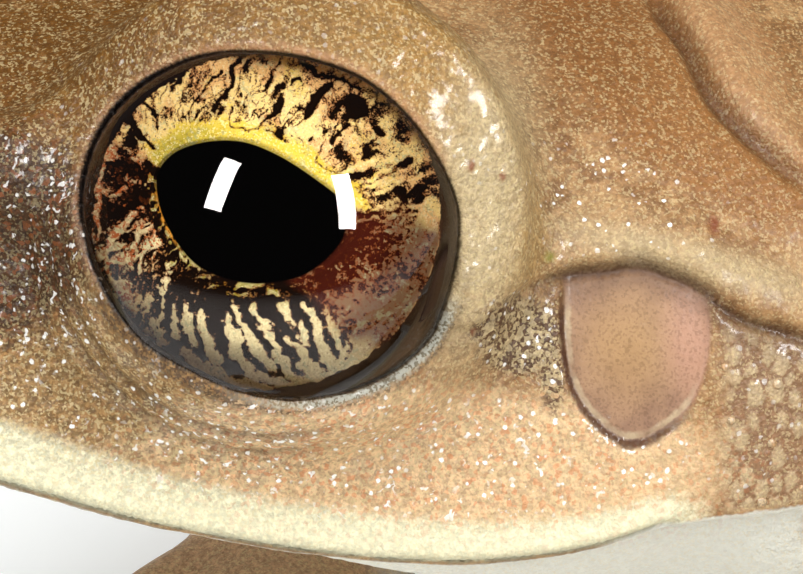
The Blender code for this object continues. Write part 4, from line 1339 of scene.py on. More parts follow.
# Dark veins of the upper iris: routes of x, y, half width in pixels of the photo's frame
VEINS = [
    [(243, 55, 3.5), (234, 72, 3), (227, 87, 3), (220, 100, 2.6), (212, 113, 1.4)],
    [(196, 60, 2.5), (181, 72, 3.6), (177, 79, 3), (170, 90, 1.2)],
    [(155, 72, 4), (170, 73, 3.5), (180, 71, 2.5)],
    [(221, 70, 2), (210, 82, 1.6), (202, 95, 1.3), (195, 105, 0.8)],
    [(275, 69, 1.4), (270, 80, 2.6), (262, 90, 1)],
    [(300, 80, 1.6), (292, 82, 3)],
    [(281, 99, 5.5), (274, 108, 5), (267, 116, 2.2), (262, 123, 1.2)],
    [(328, 84, 3.5), (318, 97, 6.5), (310, 108, 5), (305, 121, 2)],
    [(338, 107, 3.5), (330, 120, 2)],
    [(300, 60, 3), (307, 69, 4), (316, 75, 3.4), (342, 80, 2.6), (360, 92, 2)],
    [(368, 106, 1.5), (360, 110, 4.6), (352, 115, 1)],
    [(345, 125, 3.6), (342, 133, 1.4)],
    [(338, 136, 3.6), (332, 141, 2)],
    [(370, 122, 1.2), (382, 132, 4.2), (388, 134, 1.4)],
    [(378, 154, 2.6), (367, 157, 1)],
    [(410, 160, 4.6), (400, 165, 2), (392, 170, 1)],
    [(422, 172, 3), (425, 176, 1)],
    [(357, 176, 5), (350, 176, 3.4)],
    [(400, 190, 5.6), (405, 198, 4), (408, 203, 1.4)],
    [(397, 211, 2.4), (415, 212, 2), (380, 213, 1.2)],
    [(337, 230, 2), (360, 214, 3), (385, 218, 3)],
    [(120, 112, 3.6), (130, 122, 5.6), (138, 132, 4), (152, 148, 2)],
    [(137, 87, 2), (145, 102, 2), (155, 115, 3.6), (157, 120, 1)],
    [(240, 95, 2), (240, 94, 1)], [(239, 120, 1.8), (238, 121, 1)], [(310, 142, 2.4), (308, 144, 1)],
    [(363, 144, 1.4), (361, 145, 1)], [(357, 152, 1.3), (355, 153, 1)], [(415, 190, 1.2), (413, 191, 1)],
]
# Pale rays of the lower iris, in the same way
RAYS = [
    [(160, 286, 1.2), (163, 318, 1.4)], [(175, 302, 1.2), (177, 335, 2.2)],
    [(186, 312, 2), (190, 330, 3.4), (194, 346, 2.8)],
    [(198, 312, 2), (206, 337, 4.6), (218, 364, 3.6)],
    [(227, 318, 2.2), (236, 338, 5.4), (232, 356, 3.2)],
    [(238, 346, 3), (246, 366, 5.4), (254, 380, 4)],
    [(232, 304, 1.4), (245, 327, 3), (255, 350, 4.8), (270, 369, 4.4)],
    [(252, 304, 1.6), (261, 318, 2.4), (268, 326, 2)], [(261, 326, 2.6), (270, 338, 3.8), (279, 351, 2.4)],
    [(275, 354, 3), (285, 366, 5.4), (295, 377, 4.4)],
    [(284, 303, 3.8), (289, 318, 3), (292, 328, 1.4)], [(298, 320, 2), (301, 330, 3), (304, 346, 2.2)],
    [(288, 337, 2), (294, 345, 2)], [(295, 345, 2.2), (304, 360, 6.4), (318, 376, 7)],
    [(312, 316, 2.4), (318, 334, 3.6), (324, 352, 4.8), (333, 369, 5.6)],
    [(326, 312, 2.4), (332, 327, 3.2), (338, 349, 2.8)], [(352, 328, 4), (363, 344, 7), (356, 360, 4.4)],
    [(366, 326, 4), (380, 342, 5)], [(354, 296, 2.4), (366, 318, 4)], [(384, 314, 3), (394, 334, 4.2)],
    [(402, 302, 2.4), (408, 318, 3.4)], [(304, 302, 1.4), (312, 312, 1.8)],
    [(255, 377, 3.6), (285, 387, 4.6), (320, 383, 4.6), (340, 369, 4), (362, 357, 4), (382, 346, 3)],
    [(346, 346, 3), (340, 368, 4)], [(160, 318, 1.2), (164, 338, 2.6)], [(152, 322, 3), (163, 340, 4.6)],
    [(184, 352, 4), (204, 371, 5.4)], [(208, 366, 4), (232, 381, 4.4), (268, 392, 3.4)],
]
# Thin veins that bend round single patches
VEIN_LOOPS = [
    [(232, 106, 0.8), (229, 116, 0.7), (234, 127, 0.8), (248, 129, 0.7), (263, 123, 0.8)],
    [(266, 128, 0.7), (281, 130, 0.8), (290, 128, 0.7), (296, 120, 0.8), (290, 112, 0.6)],
    [(325, 140, 0.7), (317, 152, 0.7), (318, 163, 0.8), (328, 170, 0.7), (341, 176, 0.8)],
    [(360, 185, 0.7), (372, 192, 0.8), (378, 203, 0.8), (388, 207, 0.7)],
    [(190, 85, 0.6), (196, 100, 0.7), (190, 112, 0.7), (192, 122, 0.6)],
]
# Threads of the dark parts of the iris: coppery ones before the pupil, pale and red ones behind it
COPPER_THREADS = [
    [(98, 150, 1), (104, 168, 1.6), (98, 188, 2)], [(106, 140, 1.2), (118, 152, 1.4)],
    [(112, 126, 1.4), (124, 140, 1.8), (134, 152, 1)], [(97, 196, 2.4), (95, 215, 2.4), (99, 240, 2)],
    [(126, 188, 2.4), (112, 196, 2)], [(132, 216, 3.6), (122, 226, 4.4), (112, 240, 4.6), (110, 252, 2)],
    [(142, 222, 2), (136, 240, 2.6), (130, 256, 2.4), (133, 268, 2)], [(144, 252, 1.8), (140, 272, 2.4)],
    [(104, 258, 2), (112, 278, 3), (124, 296, 4), (136, 312, 3.4)], [(122, 282, 3), (132, 300, 2.4)],
    [(146, 330, 2.4), (166, 348, 2), (186, 362, 1.8)], [(152, 222, 2.4), (156, 240, 1.8)],
]
STRIPES = [
    [(330, 226, 0.6), (362, 219, 1.6), (398, 222, 1.2)], [(372, 232, 0.6), (402, 230, 1.4), (430, 233, 1)],
    [(356, 200, 1.4), (374, 203, 1.8), (396, 209, 1.4)], [(366, 209, 1.2), (390, 214, 1.6), (412, 216, 1.4)],
    [(431, 186, 2.8), (437, 215, 3.4), (438, 245, 2.4), (434, 264, 1.2)],
    [(404, 228, 1), (416, 236, 1.6), (430, 238, 1)], [(418, 286, 1.6), (410, 302, 3)],
]
# Middles of the two fans that the strands of the iris follow, and the distances at which they are drawn true
FAN_HUB = (131.0, 296.0)
FAN_REACH = 220.0
FRONT_HUB = (196.0, 214.0)
FRONT_REACH = 85.0


def iris_outline():
    """The outer edge of the iris: an oval on the photo, as points."""
    turns = np.radians(np.arange(0, 360, 6))
    return [(IRIS_CENTRE_ON_PHOTO[0] + IRIS_HALF_SIZE_ON_PHOTO[0] * math.cos(turn),
             IRIS_CENTRE_ON_PHOTO[1] - IRIS_HALF_SIZE_ON_PHOTO[1] * math.sin(turn)) for turn in turns]


def stroke_cover(spots, routes, soft=3.5):
    """Tapered strokes of (x, y, half width): 0.5 at their edge, and 1 from soft pixels inside it."""
    inside = np.full(len(spots), -9.0)
    for route in routes:
        for near, far in zip(route, route[1:]):
            start, step = np.array(near[:2]), np.array(far[:2]) - near[:2]
            widest = max(near[2], far[2]) + soft + 1
            low, high = np.minimum(near[:2], far[:2]) - widest, np.maximum(near[:2], far[:2]) + widest
            close = np.flatnonzero(np.all((spots > low) & (spots < high), axis=1))
            t = np.clip((spots[close] - start) @ step / (step @ step), 0.0, 1.0)
            gap = np.linalg.norm(spots[close] - start - t[:, None] * step, axis=1)
            inside[close] = np.maximum(inside[close], near[2] + (far[2] - near[2]) * t - gap)
    return np.clip(0.5 + inside / (2 * soft), 0.0, 1.0)


def strands(spots, hub, reach, width, length, seed, octaves=2):
    """Noise drawn out along a fan of strands from a hub, as wide in pixels as asked at one reach."""
    offset = spots - np.array(hub)
    turn = np.arctan2(offset[:, 0], -offset[:, 1])
    along = np.hypot(*offset.T) / length
    return soft_noise(np.column_stack([turn * reach / width, along]), 1.0, seed, octaves)


def iris_masks(spots, turns, shares, seed):
    """What the iris's material reads at each spot of the photo's frame."""

    def wobble(size, offset, octaves=2):
        return soft_noise(spots + 13.0 * offset, size, seed + offset, octaves)

    def cut_by(distance, half_width):
        return np.clip(0.5 + (half_width - distance) / 5.0, 0.0, 1.0)

    bend = np.column_stack([wobble(16.0, 1), wobble(16.0, 2)]) * 4.0
    bend += np.column_stack([wobble(5.0, 3, 1), wobble(5.0, 4, 1)]) * 1.8
    bent = spots + bend
    inner, outer = (outline_reach(line, IRIS_HUB, turns) for line in (PUPIL_ON_PHOTO, iris_outline()))
    depth, margin_out = shares * (outer - inner), (1 - shares) * (outer - inner)
    turned = (turns + 90 + 5.0 * wobble(26.0, 5)) % 360 - 90
    upper = soft_step(-12, -3, turned) * soft_step(153, 141, turned)
    front = soft_step(141, 153, turned) * soft_step(248, 234, turned)
    lower = soft_step(234, 248, turned) + soft_step(-40, -48, turned)
    right = soft_step(-3, -12, turned) * soft_step(-48, -40, turned)

    # Upper part: cream patches, parted by veins that follow the fan and thin out on their way
    main = np.abs(strands(bent, FAN_HUB, FAN_REACH, 17.0, 62.0, seed + 6, 1)) * 8.0
    thick = -2.5 + 6.5 * np.clip(wobble(22.0, 7) + 0.15, 0, 1) + 1.0 * wobble(7.0, 8, 1)
    veins = cut_by(main, thick) * soft_step(6, 24, depth)
    fine = np.abs(strands(bent, FAN_HUB, FAN_REACH, 8.0, 30.0, seed + 9, 1)) * 4.2
    fine = cut_by(fine, 0.3 + 1.0 * wobble(16.0, 10)) * soft_step(14, 30, depth)
    finest = np.abs(strands(bent, FAN_HUB, FAN_REACH, 5.0, 14.0, seed + 12, 1)) * 2.8
    finest = cut_by(finest, -0.1 + 0.9 * wobble(18.0, 30)) * soft_step(10, 24, depth)
    islands = 0.5 + 0.8 * (strands(bent, FAN_HUB, FAN_REACH, 8.0, 17.0, seed + 11, 1) - 0.62)
    islands = np.clip(islands, 0, 1) * soft_step(16, 30, depth)
    dark = np.maximum.reduce([veins, fine, finest, islands, stroke_cover(bent, VEINS),
                              stroke_cover(bent, VEIN_LOOPS)])
    upper_light = 1 - dark

    # Lower part: pale ragged rays, and short brown streaks under the pupil
    ray_light = stroke_cover(bent, RAYS) + 0.3 * wobble(3.4, 13, 1) + 0.12 * wobble(9.0, 14) + 0.14
    streaks = 0.5 + 0.7 * (strands(bent, FAN_HUB, FAN_REACH, 6.0, 16.0, seed + 15) - 0.25)
    lower_light = np.maximum(ray_light, streaks * soft_step(30, 8, depth))

    # Before the pupil: coppery threads that fan out from it, thickest low down
    low_front = soft_step(205, 245, spots[:, 1])
    thread = strands(spots + 1.4 * bend, FRONT_HUB, FRONT_REACH, 5.0, 26.0, seed + 16)
    thread = 0.36 + 0.5 * thread + 0.12 * wobble(2.6, 17, 1) + 0.22 * wobble(20.0, 18) + 0.12 * low_front
    drawn = stroke_cover(spots + 0.8 * bend, COPPER_THREADS) + 0.12 * wobble(3.0, 19, 1)
    front_light = np.maximum(thread - 0.04, drawn) * soft_step(4, 18, depth) * soft_step(0, 4, margin_out)

    # Behind the pupil: dark red, with brown grains that thicken away from it
    dust = 0.24 * wobble(2.8, 20, 1) + 0.16 * wobble(9.0, 21) + 0.16 * wobble(28.0, 22)
    away = soft_step(14, 84, depth + 0.4 * (spots[:, 1] - 230))
    ember_light = 0.26 + dust + 0.3 * away
    ember_light = np.maximum(ember_light, stroke_cover(bent, STRIPES) + 0.12 * wobble(3.0, 23, 1) - 0.02)

    # The parts together, with a line of beads along the pupil and a dark edge outside
    wide_front = soft_step(141, 153, turned) * soft_step(264, 248, turned)
    light = upper * upper_light + np.maximum(wide_front * front_light, lower * lower_light)
    light += right * ember_light
    beads = soft_step(-0.2, 0.3, wobble(3.6, 24, 1))
    margin = soft_step(13, 6, depth + 4 * wobble(10.0, 25, 1)) * soft_step(150, 162, turns)
    margin *= soft_step(305, 262, turns) * beads
    limbus = np.interp(turns, [0, 20, 50, 90, 140, 180, 225, 262, 280, 315, 345, 360],
                       [8, 4, 2.5, 2, 3, 5, 7, 6, 5, 10, 12, 8])
    rim = soft_step(limbus + 1.5, limbus - 2.5, margin_out + 1.5 * wobble(8.0, 26, 1))
    light = np.clip(np.maximum(light, 0.68 * margin), 0, 1) * (1 - rim)
    yellow = soft_step(36, 12, depth + 7 * wobble(16.0, 27)) + 0.5 * soft_step(0.0, 0.6, wobble(30.0, 28))
    yellow += 0.5 * soft_step(270, 330, spots[:, 0]) * soft_step(40, 20, depth)
    peach = soft_step(-0.3, 0.6, wobble(24.0, 29) + 0.4 * soft_step(230, 120, spots[:, 0]))
    moss = soft_step(250, 190, spots[:, 0]) * soft_step(22, 8, depth) * upper
    return {"light": light, "yellow": np.clip(yellow, 0, 1) * upper, "peach": peach * upper,
            "olive": np.clip(margin * 1.2 + 0.8 * moss + lower * soft_step(34, 16, depth), 0, 1),
            "gilt": soft_step(3.5, 1.0, depth) * soft_step(170, 185, turns) * soft_step(255, 235, turns),
            "front": front, "lower": lower, "beige": front * low_front,
            "ember": right * (1 - rim), "embers": right * soft_step(30, 70, depth)}


def iris_height(reach):
    """Height of the iris's dome over the middle of the eye, at a distance from the eye's axis."""
    return IRIS_EDGE_HEIGHT + IRIS_RISE * (1 - (reach / IRIS_EDGE_REACH) ** 2)


def ring_triangles(count, columns):
    """Triangles of a closed surface of rings of points, then one point ahead of them and one behind them."""
    near = np.arange(columns)
    far = (near + 1) % columns
    triangles = []
    for start in range(0, (count - 1) * columns, columns):
        low, high = start, start + columns
        triangles += [np.stack([low + near, high + near, high + far], 1),
                      np.stack([low + near, high + far, low + far], 1)]
    last_ring, ahead, behind = (count - 1) * columns, count * columns, count * columns + 1
    triangles += [np.stack([np.full(columns, ahead), near, far], 1),
                  np.stack([np.full(columns, behind), last_ring + far, last_ring + near], 1)]
    return np.concatenate(triangles)


def eye_arrays(side, columns, rings, seed):
    """A closed eyeball: pupil, iris and globe, with what the iris's material reads."""
    turns = np.arange(columns) * 360.0 / columns
    inner, outer = (outline_reach(line, IRIS_HUB, turns) for line in (PUPIL_ON_PHOTO, iris_outline()))
    ways = np.stack([np.cos(np.radians(turns)), -np.sin(np.radians(turns))], 1)
    rows = []

    def add_row(places, spots, *values):
        rows.append((places, spots, *(np.full(columns, value) for value in values)))

    def add_dome_row(reach, share, lift, in_pupil):
        spots = np.array(IRIS_HUB) + ways * reach[:, None]
        places = on_dome(spots[:, 0], spots[:, 1], iris_height)
        places[:, 2] += lift
        add_row(places, spots, share, in_pupil, 1.0 - in_pupil)

    for part, lift in ((0.25, -0.9), (0.6, -0.8), (0.9, -0.55), (0.985, -0.2)):
        add_dome_row(inner * part, 0.0, lift, 1.0)
    for share in np.linspace(0.0, 1.0, rings):
        lift = 0.05 * math.exp(-((share - 0.045) / 0.04) ** 2) - 0.05 * math.exp(-share / 0.012)
        add_dome_row(inner + share * (outer - inner), share, lift, 0.0)
    edge, edge_spots = rows[-1][:2]
    directions = edge[:, :2] / np.hypot(edge[:, 0], edge[:, 1])[:, None]
    for latitude in np.radians(GLOBE_LATITUDES_DEG):
        height = np.full(columns, GLOBE_RADIUS * math.sin(latitude))
        ring = directions * (GLOBE_RADIUS * math.cos(latitude))
        add_row(np.column_stack([ring, height]), edge_spots, 1.0, 0.0, 0.0)
    places, spots, shares, pupil, on_iris = (np.concatenate(column) for column in zip(*rows))
    masks = iris_masks(spots, np.tile(turns, len(rows)), shares, seed)
    masks.update(pupil=pupil, iris=on_iris)
    raised = soft_step(0.3, 0.7, masks["light"]) * soft_step(0.0, 0.08, shares)
    places[:, 2] += 0.02 * raised * on_iris
    first = rows[0][0]
    poles = [[*first[:, :2].mean(0), first[0, 2] - 0.02], [0.0, 0.0, -GLOBE_RADIUS]]
    for key in masks:
        masks[key] = np.append(masks[key], [masks[key][0], masks[key][-1]])
    head_places = EYE_CENTRE + np.concatenate([places, poles]) @ np.stack(eye_axes(1))
    head_places[:, 0] *= side
    return from_head(head_places), ring_triangles(len(rows), columns)[:, ::side], masks


def iris_material(looks):
    """Gold and cream patches between dark veins, made granular, around a black pupil."""
    g = Graph("frog_iris")
    mm = g.place()
    _, speck = g.grains(mm, IRIS_SPECK)
    _, grain = g.grains(mm, IRIS_GRAIN)
    blotch = g.noise(mm, 0.14, 3.0, 0.6)
    fray = g.noise(mm, 0.03, 3.0, 0.65)

    # Colours of the light patches
    light, peach, yellow = g.read("light"), g.read("peach"), g.read("yellow")
    colour = g.blend(g.step(0.25, 0.75, peach + (blotch - 0.5) * 0.8), looks.cream_colour, looks.peach_colour)
    colour = g.blend(g.read("lower"), colour, looks.ray_colour)
    copper = g.blend(g.step(0.35, 0.65, blotch + (grain - 0.5) * 0.5), looks.copper_colour,
                     looks.copper_pale_colour)
    copper = g.blend(g.read("beige") * g.step(0.2, 0.6, grain), copper, looks.ray_colour)
    colour = g.blend(g.read("front"), colour, copper)
    colour = g.blend(g.read("ember") * 0.9, colour, looks.dust_colour)
    colour = g.blend(g.step(0.2, 1.0, yellow + (blotch - 0.5) * 0.9 + (grain - 0.5) * 0.3) * 0.85,
                     colour, looks.yellow_colour)
    colour = g.blend(g.read("olive") * (0.5 + grain * 0.5), colour, looks.olive_colour)
    cool = g.step(0.50, 0.60, g.noise(mm, 0.22, 3.0, 0.6)) * g.step(0.4, 0.7, grain)
    colour = g.blend(cool * 0.5, colour, looks.cool_colour)
    colour = g.blend(g.step(0.30, 0.10, speck) * 0.5 * (1 - g.read("ember")), colour, looks.painted_sparkle_and_grain_colour)

    # Dark grains, and the dark ground between the patches
    pepper = g.step(0.66, 0.88, speck * 0.6 + fray * 0.4)
    colour = g.blend(pepper * 0.55, colour, looks.rust_colour)
    cover = light + 0.03 + (speck - 0.5) * 0.2 + (grain - 0.5) * 0.14 + (fray - 0.5) * 0.45
    colour = g.blend(g.step(0.64, 0.5, cover) * 0.8, colour, looks.rust_colour)
    dark = g.blend(g.read("ember") * (1 - g.read("embers") * 0.5), looks.vein_colour, looks.ember_colour)
    rust = g.step(0.7, 0.95, grain * 0.6 + fray * 0.5) * 0.35 * (g.read("front") + g.read("ember"))
    dark = g.blend(rust, dark, looks.rust_colour)
    colour = g.blend(g.step(0.43, 0.53, cover), dark, colour)
    colour = g.blend(g.read("gilt") * g.step(0.35, 0.6, grain), colour, looks.gilt_colour)
    colour = g.blend(g.read("iris"), looks.vein_colour, colour)
    colour = g.blend(g.read("pupil"), colour, (0.0, 0.0, 0.0))
    normal = g.bump(speck * 0.5 + grain * 0.5, looks.grain_height, 0.8)
    shader = g.node("ShaderNodeBsdfPrincipled", None, {
        "Base Color": colour, "Roughness": 0.45, "Normal": normal, "IOR": IRIS_IOR,
        "Specular IOR Level": 0.0})
    return g.finish(shader)


def cornea_material():
    """Clear and wet: it shows what lies behind it, and mirrors the lights."""
    g = Graph("frog_cornea")
    mirror = g.node("ShaderNodeBsdfAnisotropic", None, {"Color": (1.0, 0.91, 0.88, 1.0), "Roughness": 0.02})
    clear = g.node("ShaderNodeBsdfTransparent", None, {"Color": (1.0, 1.0, 1.0, 1.0)})
    share = g.node("ShaderNodeFresnel", None, {"IOR": CORNEA_IOR})
    shader = g.node("ShaderNodeMixShader", None, {0: share, 1: clear, 2: mirror})
    return g.finish(shader)


def ball_arrays(centre, radius, columns=96, rows=48):
    """A closed ball of triangles."""
    latitudes = np.radians(np.linspace(-90, 90, rows + 1)[1:-1])
    turns = np.arange(columns) * 2 * math.pi / columns
    points = np.concatenate([np.column_stack([np.cos(turns) * math.cos(lat), np.sin(turns) * math.cos(lat),
                                              np.full(columns, math.sin(lat))]) for lat in latitudes])
    points = np.concatenate([points, [[0, 0, -1], [0, 0, 1]]]) * radius + centre
    return points, ring_triangles(len(latitudes), columns)[:, ::-1]


def tubercle_tree():
    """Scatters small domes over a surface, thickest where the surface's own coarse skin lies."""
    tree = bpy.data.node_groups.new("tubercles", "GeometryNodeTree")
    face = tree.interface
    face.new_socket("Geometry", in_out="INPUT", socket_type="NodeSocketGeometry")
    for name in ("Spacing", "Density", "Radius"):
        face.new_socket(name, in_out="INPUT", socket_type="NodeSocketFloat")
    face.new_socket("Seed", in_out="INPUT", socket_type="NodeSocketInt")
    face.new_socket("Material", in_out="INPUT", socket_type="NodeSocketMaterial")
    face.new_socket("Geometry", in_out="OUTPUT", socket_type="NodeSocketGeometry")

    def add(kind, settings=None, **links):
        made = tree.nodes.new(kind)
        for key, value in (settings or {}).items():
            setattr(made, key, value)
        for key, value in links.items():
            socket = made.inputs[key.replace("_", " ")]
            if isinstance(value, bpy.types.NodeSocket):
                tree.links.new(value, socket)
            else:
                socket.default_value = value
        return made

    given = add("NodeGroupInput").outputs
    where = add("GeometryNodeInputNamedAttribute", {"data_type": "FLOAT"}, Name="bumps")
    scatter = add("GeometryNodeDistributePointsOnFaces", {"distribute_method": "POISSON"},
                  Mesh=given["Geometry"], Distance_Min=given["Spacing"], Density_Max=given["Density"],
                  Density_Factor=where.outputs[0], Seed=given["Seed"])
    dome = add("GeometryNodeMeshUVSphere", None, Segments=8, Rings=5, Radius=given["Radius"])
    flat = add("GeometryNodeTransform", None, Geometry=dome.outputs["Mesh"], Scale=(1.0, 1.0, 0.4))
    size = add("FunctionNodeRandomValue", {"data_type": "FLOAT"}, Min=0.5, Max=1.15, Seed=given["Seed"])
    placed = add("GeometryNodeInstanceOnPoints", None, Points=scatter.outputs["Points"],
                 Instance=flat.outputs[0], Rotation=scatter.outputs["Rotation"], Scale=size.outputs["Value"])
    real = add("GeometryNodeRealizeInstances", None, Geometry=placed.outputs["Instances"])
    smooth = add("GeometryNodeSetShadeSmooth", None, Geometry=real.outputs[0])
    dressed = add("GeometryNodeSetMaterial", None, Geometry=smooth.outputs[0], Material=given["Material"])
    out = add("NodeGroupOutput")
    tree.links.new(dressed.outputs[0], out.inputs[0])
    return tree


def grown_over(source, tree, inputs, name):
    """What a node tree grows on a copy of a piece, as a plain mesh of its own."""
    carrier = bpy.data.objects.new(name, source.data.copy())
    bpy.context.scene.collection.objects.link(carrier)
    modifier = carrier.modifiers.new(name, "NODES")
    modifier.node_group = tree
    names = {item.name: item.identifier for item in tree.interface.items_tree if item.in_out == "INPUT"}
    for key, value in inputs.items():
        modifier[names[key]] = value
    bpy.context.view_layer.update()
    mesh = bpy.data.meshes.new_from_object(carrier.evaluated_get(bpy.context.evaluated_depsgraph_get()))
    carrier.modifiers.clear()
    carrier.data = mesh
    return carrier


def colour_property(name, description, colour):
    return FloatVectorProperty(name=name, description=description, subtype="COLOR", size=3, min=0.0, max=1.0,
                               default=from_photo(*colour))


def length_property(name, description, millimetres):
    return FloatProperty(name=name, description=description, subtype="DISTANCE", unit="LENGTH", min=0.0,
                         default=millimetres * MM, precision=5)


def power_property(name, description, watts):
    return FloatProperty(name=name, description=description, unit="POWER", min=0.0, default=watts)


class FrogSkinSettings(bpy.types.PropertyGroup):
    """Colours and grain of the skin."""

    back_colour: colour_property("Back", "Main colour of the back and the head", (176, 136, 90))
    mottle_colour: colour_property("Mottle", "Darker patches of the back", (142, 100, 58))
    mark_colour: colour_property("Marks", "Dark marks on the back and bars on the limbs", (104, 68, 36))
    arm_colour: colour_property("Arms", "Paler skin of the arms", (204, 164, 126))
    # Olive-brown top of the snout, also painted as shade over the lid's top and left
    crown_and_shade_colour: colour_property("Crown", "Top of the snout", (108, 68, 16))
    dim_colour: colour_property("Crown shade", "Brown skin over the ear", (130, 84, 40))
    nape_colour: colour_property("Nape", "Neck before its fold", (148, 100, 52))
    beyond_colour: colour_property("Neck", "Neck beyond its fold", (176, 132, 88))
    cheek_colour: colour_property("Cheek", "Pale skin behind the eye", (190, 168, 126))
    peach_colour: colour_property("Peach", "Warm skin under the eye", (220, 184, 138))
    lore_colour: colour_property("Lore", "Dark side of the snout before the eye", (66, 40, 12))
    lore_light_colour: colour_property("Lore edge", "Paler brown round the snout's dark side", (160, 124, 76))
    lid_colour: colour_property("Lid", "Skin of the upper lid", (162, 122, 62))
    grain_colour: colour_property("Grains", "Tops of the coarse grains behind the ear", (184, 158, 120))
    # Painted shade between the coarse grains
    grain_gap_shade_colour: colour_property("Grooves", "Between the coarse grains behind the ear", (142, 106, 74))
    patch_colour: colour_property("Ear patch", "Dark patch ahead of the ear", (96, 68, 44))
    belly_colour: colour_property("Belly", "Throat, belly and undersides", (230, 229, 216))
    lip_colour: colour_property("Lip", "Cream edge over the mouth", (230, 224, 188))
    speck_colour: colour_property("Specks", "Fine dark specks", (70, 42, 16))
    ember_colour: colour_property("Orange specks", "Fine orange specks under the eye", (210, 118, 60))
    gold_colour: colour_property("Gold", "Fine golden grain", (236, 212, 156))
    red_colour: colour_property("Red spots", "Small red-brown spots", (128, 62, 30))
    olive_colour: colour_property("Olive spot", "Small olive spot before the ear", (128, 124, 36))
    haw_colour: colour_property("Haw", "Pale band along the lower lid", (178, 178, 164))
    haw_dark_colour: colour_property("Haw shade", "Dark grain of the lower lid's band", (120, 114, 94))
    rim_colour: colour_property("Rim", "Skin at the edge of the upper lid", (200, 150, 112))
    # Painted shade where the lids meet the eye
    lid_edge_shade_colour: colour_property("Lid edge", "Inner edge of the lids", (16, 8, 4))
    ear_colour: colour_property("Eardrum", "Main colour of the eardrum", (162, 126, 98))
    ear_dark_colour: colour_property("Eardrum shade", "Darker patches of the eardrum", (142, 108, 86))
    ear_warm_colour: colour_property("Eardrum centre", "Middle of the eardrum", (176, 138, 90))
    ear_pink_colour: colour_property("Eardrum pink", "Rear of the eardrum", (184, 138, 112))
    ring_colour: colour_property("Ring", "Pale edge of the eardrum", (216, 198, 160))
    ear_line_colour: colour_property("Ear line", "Dark line round the eardrum", (74, 36, 16))
    # Painted shade at the bottom of the mouth's line
    mouth_line_shade_colour: colour_property("Mouth line", "Bottom of the mouth's line", (112, 112, 92))
    # Painted shade at the bottom of folds and along the lower lid
    crease_shade_colour: colour_property("Creases", "Bottom of folds", (64, 38, 20))
    # Painted highlights of the wet grain
    painted_sparkle_and_grain_colour: colour_property("Sparkle", "Wet threads on the grain", (252, 250, 244))
    grain_height: length_property("Grain height", "Height of the fine grain", 0.04)
    tubercle_spacing: length_property("Tubercle spacing", "Least distance between tubercles", 0.6)
    tubercle_radius: length_property("Tubercle radius", "Radius of the largest tubercles", 0.075)
    seed: IntProperty(name="Seed", description="Picks another scatter of tubercles", default=7, min=0)


class FrogEyeSettings(bpy.types.PropertyGroup):
    """Colours of the eyes."""

    cream_colour: colour_property("Cream", "Patches of the upper iris", (250, 216, 136))
    peach_colour: colour_property("Peach", "Warmer patches of the upper iris", (240, 190, 122))
    cool_colour: colour_property("Cool grain", "Greenish grain in the patches", (166, 168, 128))
    yellow_colour: colour_property("Yellow", "Band over the pupil", (232, 200, 56))
    olive_colour: colour_property("Olive", "Grain along the edge of the pupil", (138, 128, 34))
    gilt_colour: colour_property("Gilt", "Bright beads on the very edge of the pupil", (228, 150, 48))
    ray_colour: colour_property("Rays", "Rays of the lower iris", (226, 206, 152))
    copper_colour: colour_property("Copper", "Threads in the front of the iris", (188, 98, 50))
    copper_pale_colour: colour_property("Pale copper", "Paler threads in its front", (192, 156, 110))
    dust_colour: colour_property("Dust", "Brown grains behind the pupil", (102, 64, 52))
    # The iris's own brightest grains
    painted_sparkle_and_grain_colour: colour_property("Iris grains", "Brightest grains", (252, 236, 184))
    rust_colour: colour_property("Rust", "Edges of the veins", (134, 62, 22))
    vein_colour: colour_property("Veins", "Dark ground and veins", (18, 8, 4))
    ember_colour: colour_property("Ember", "Dark red behind the pupil", (62, 20, 10))
    grain_height: length_property("Grain height", "Height of the grain of the iris", 0.008)
    seed: IntProperty(name="Seed", description="Picks another set of small veins", default=11, min=0)


class FrogStageSettings(bpy.types.PropertyGroup):
    """Floor, lights and camera."""

    floor_size: length_property("Floor", "Length of the floor's sides", 280.0)
    floor_colour: colour_property("Floor colour", "Colour of the floor", (244, 246, 246))
    flash_energy: power_property("Flash", "Power of each small softbox", 0.017)
    glint_energy: power_property("Glint", "Power of each softbox as wet skin and eyes mirror it", 0.07)
    fill_energy: power_property("Fill", "Power of the large light overhead", 0.55)


def skin_operator_pieces():
    """All CAD nodes that the skin stands for."""
    return [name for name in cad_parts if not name.startswith("eye_")]


def add_floor(looks):
    """A white floor that fades out some way from the frog."""
    half = looks.floor_size / 2 / MM
    corners = [[-half, -half, 0.0], [half, -half, 0.0], [half, half, 0.0], [-half, half, 0.0]]
    floor = make_mesh("floor", np.array(corners) - SHIFT, np.array([[0, 1, 2], [0, 2, 3]]))
    g = Graph("paper")
    fibre = g.noise(g.place(400.0), 1.0, 4.0, 0.6)
    tone = g.blend(fibre, looks.floor_colour, tuple(0.97 * c for c in looks.floor_colour))
    reach = g.node("ShaderNodeVectorMath", {"operation": "LENGTH"}, {0: g.place()}, "Value")
    shader = g.node("ShaderNodeBsdfPrincipled", None, {
        "Base Color": tone, "Roughness": 0.8, "Emission Color": tone, "Emission Strength": 0.2,
        "Alpha": g.step(FLOOR_FADE[1], FLOOR_FADE[0], reach)})
    floor.data.materials.append(g.finish(shader))
    return floor


def add_camera(scene):
    """The camera of the photo's view, aimed so that the eye falls where the photo has it."""
    right, up, out = view_axes()
    offset_right, offset_up = frame_offset()
    target = from_head(EYE_CENTRE) + SHIFT + right * offset_right + up * offset_up
    data = bpy.data.cameras.new("camera")
    data.lens, data.sensor_width, data.clip_start, data.clip_end = CAMERA_LENS, SENSOR_WIDTH, 0.005, 10.0
    camera = bpy.data.objects.new("camera", data)
    turn = Matrix([list(right), list(up), list(out)]).transposed().to_4x4()
    camera.matrix_world = Matrix.Translation(Vector((target + out * CAMERA_DISTANCE) * MM)) @ turn
    scene.collection.objects.link(camera)
    scene.camera = camera


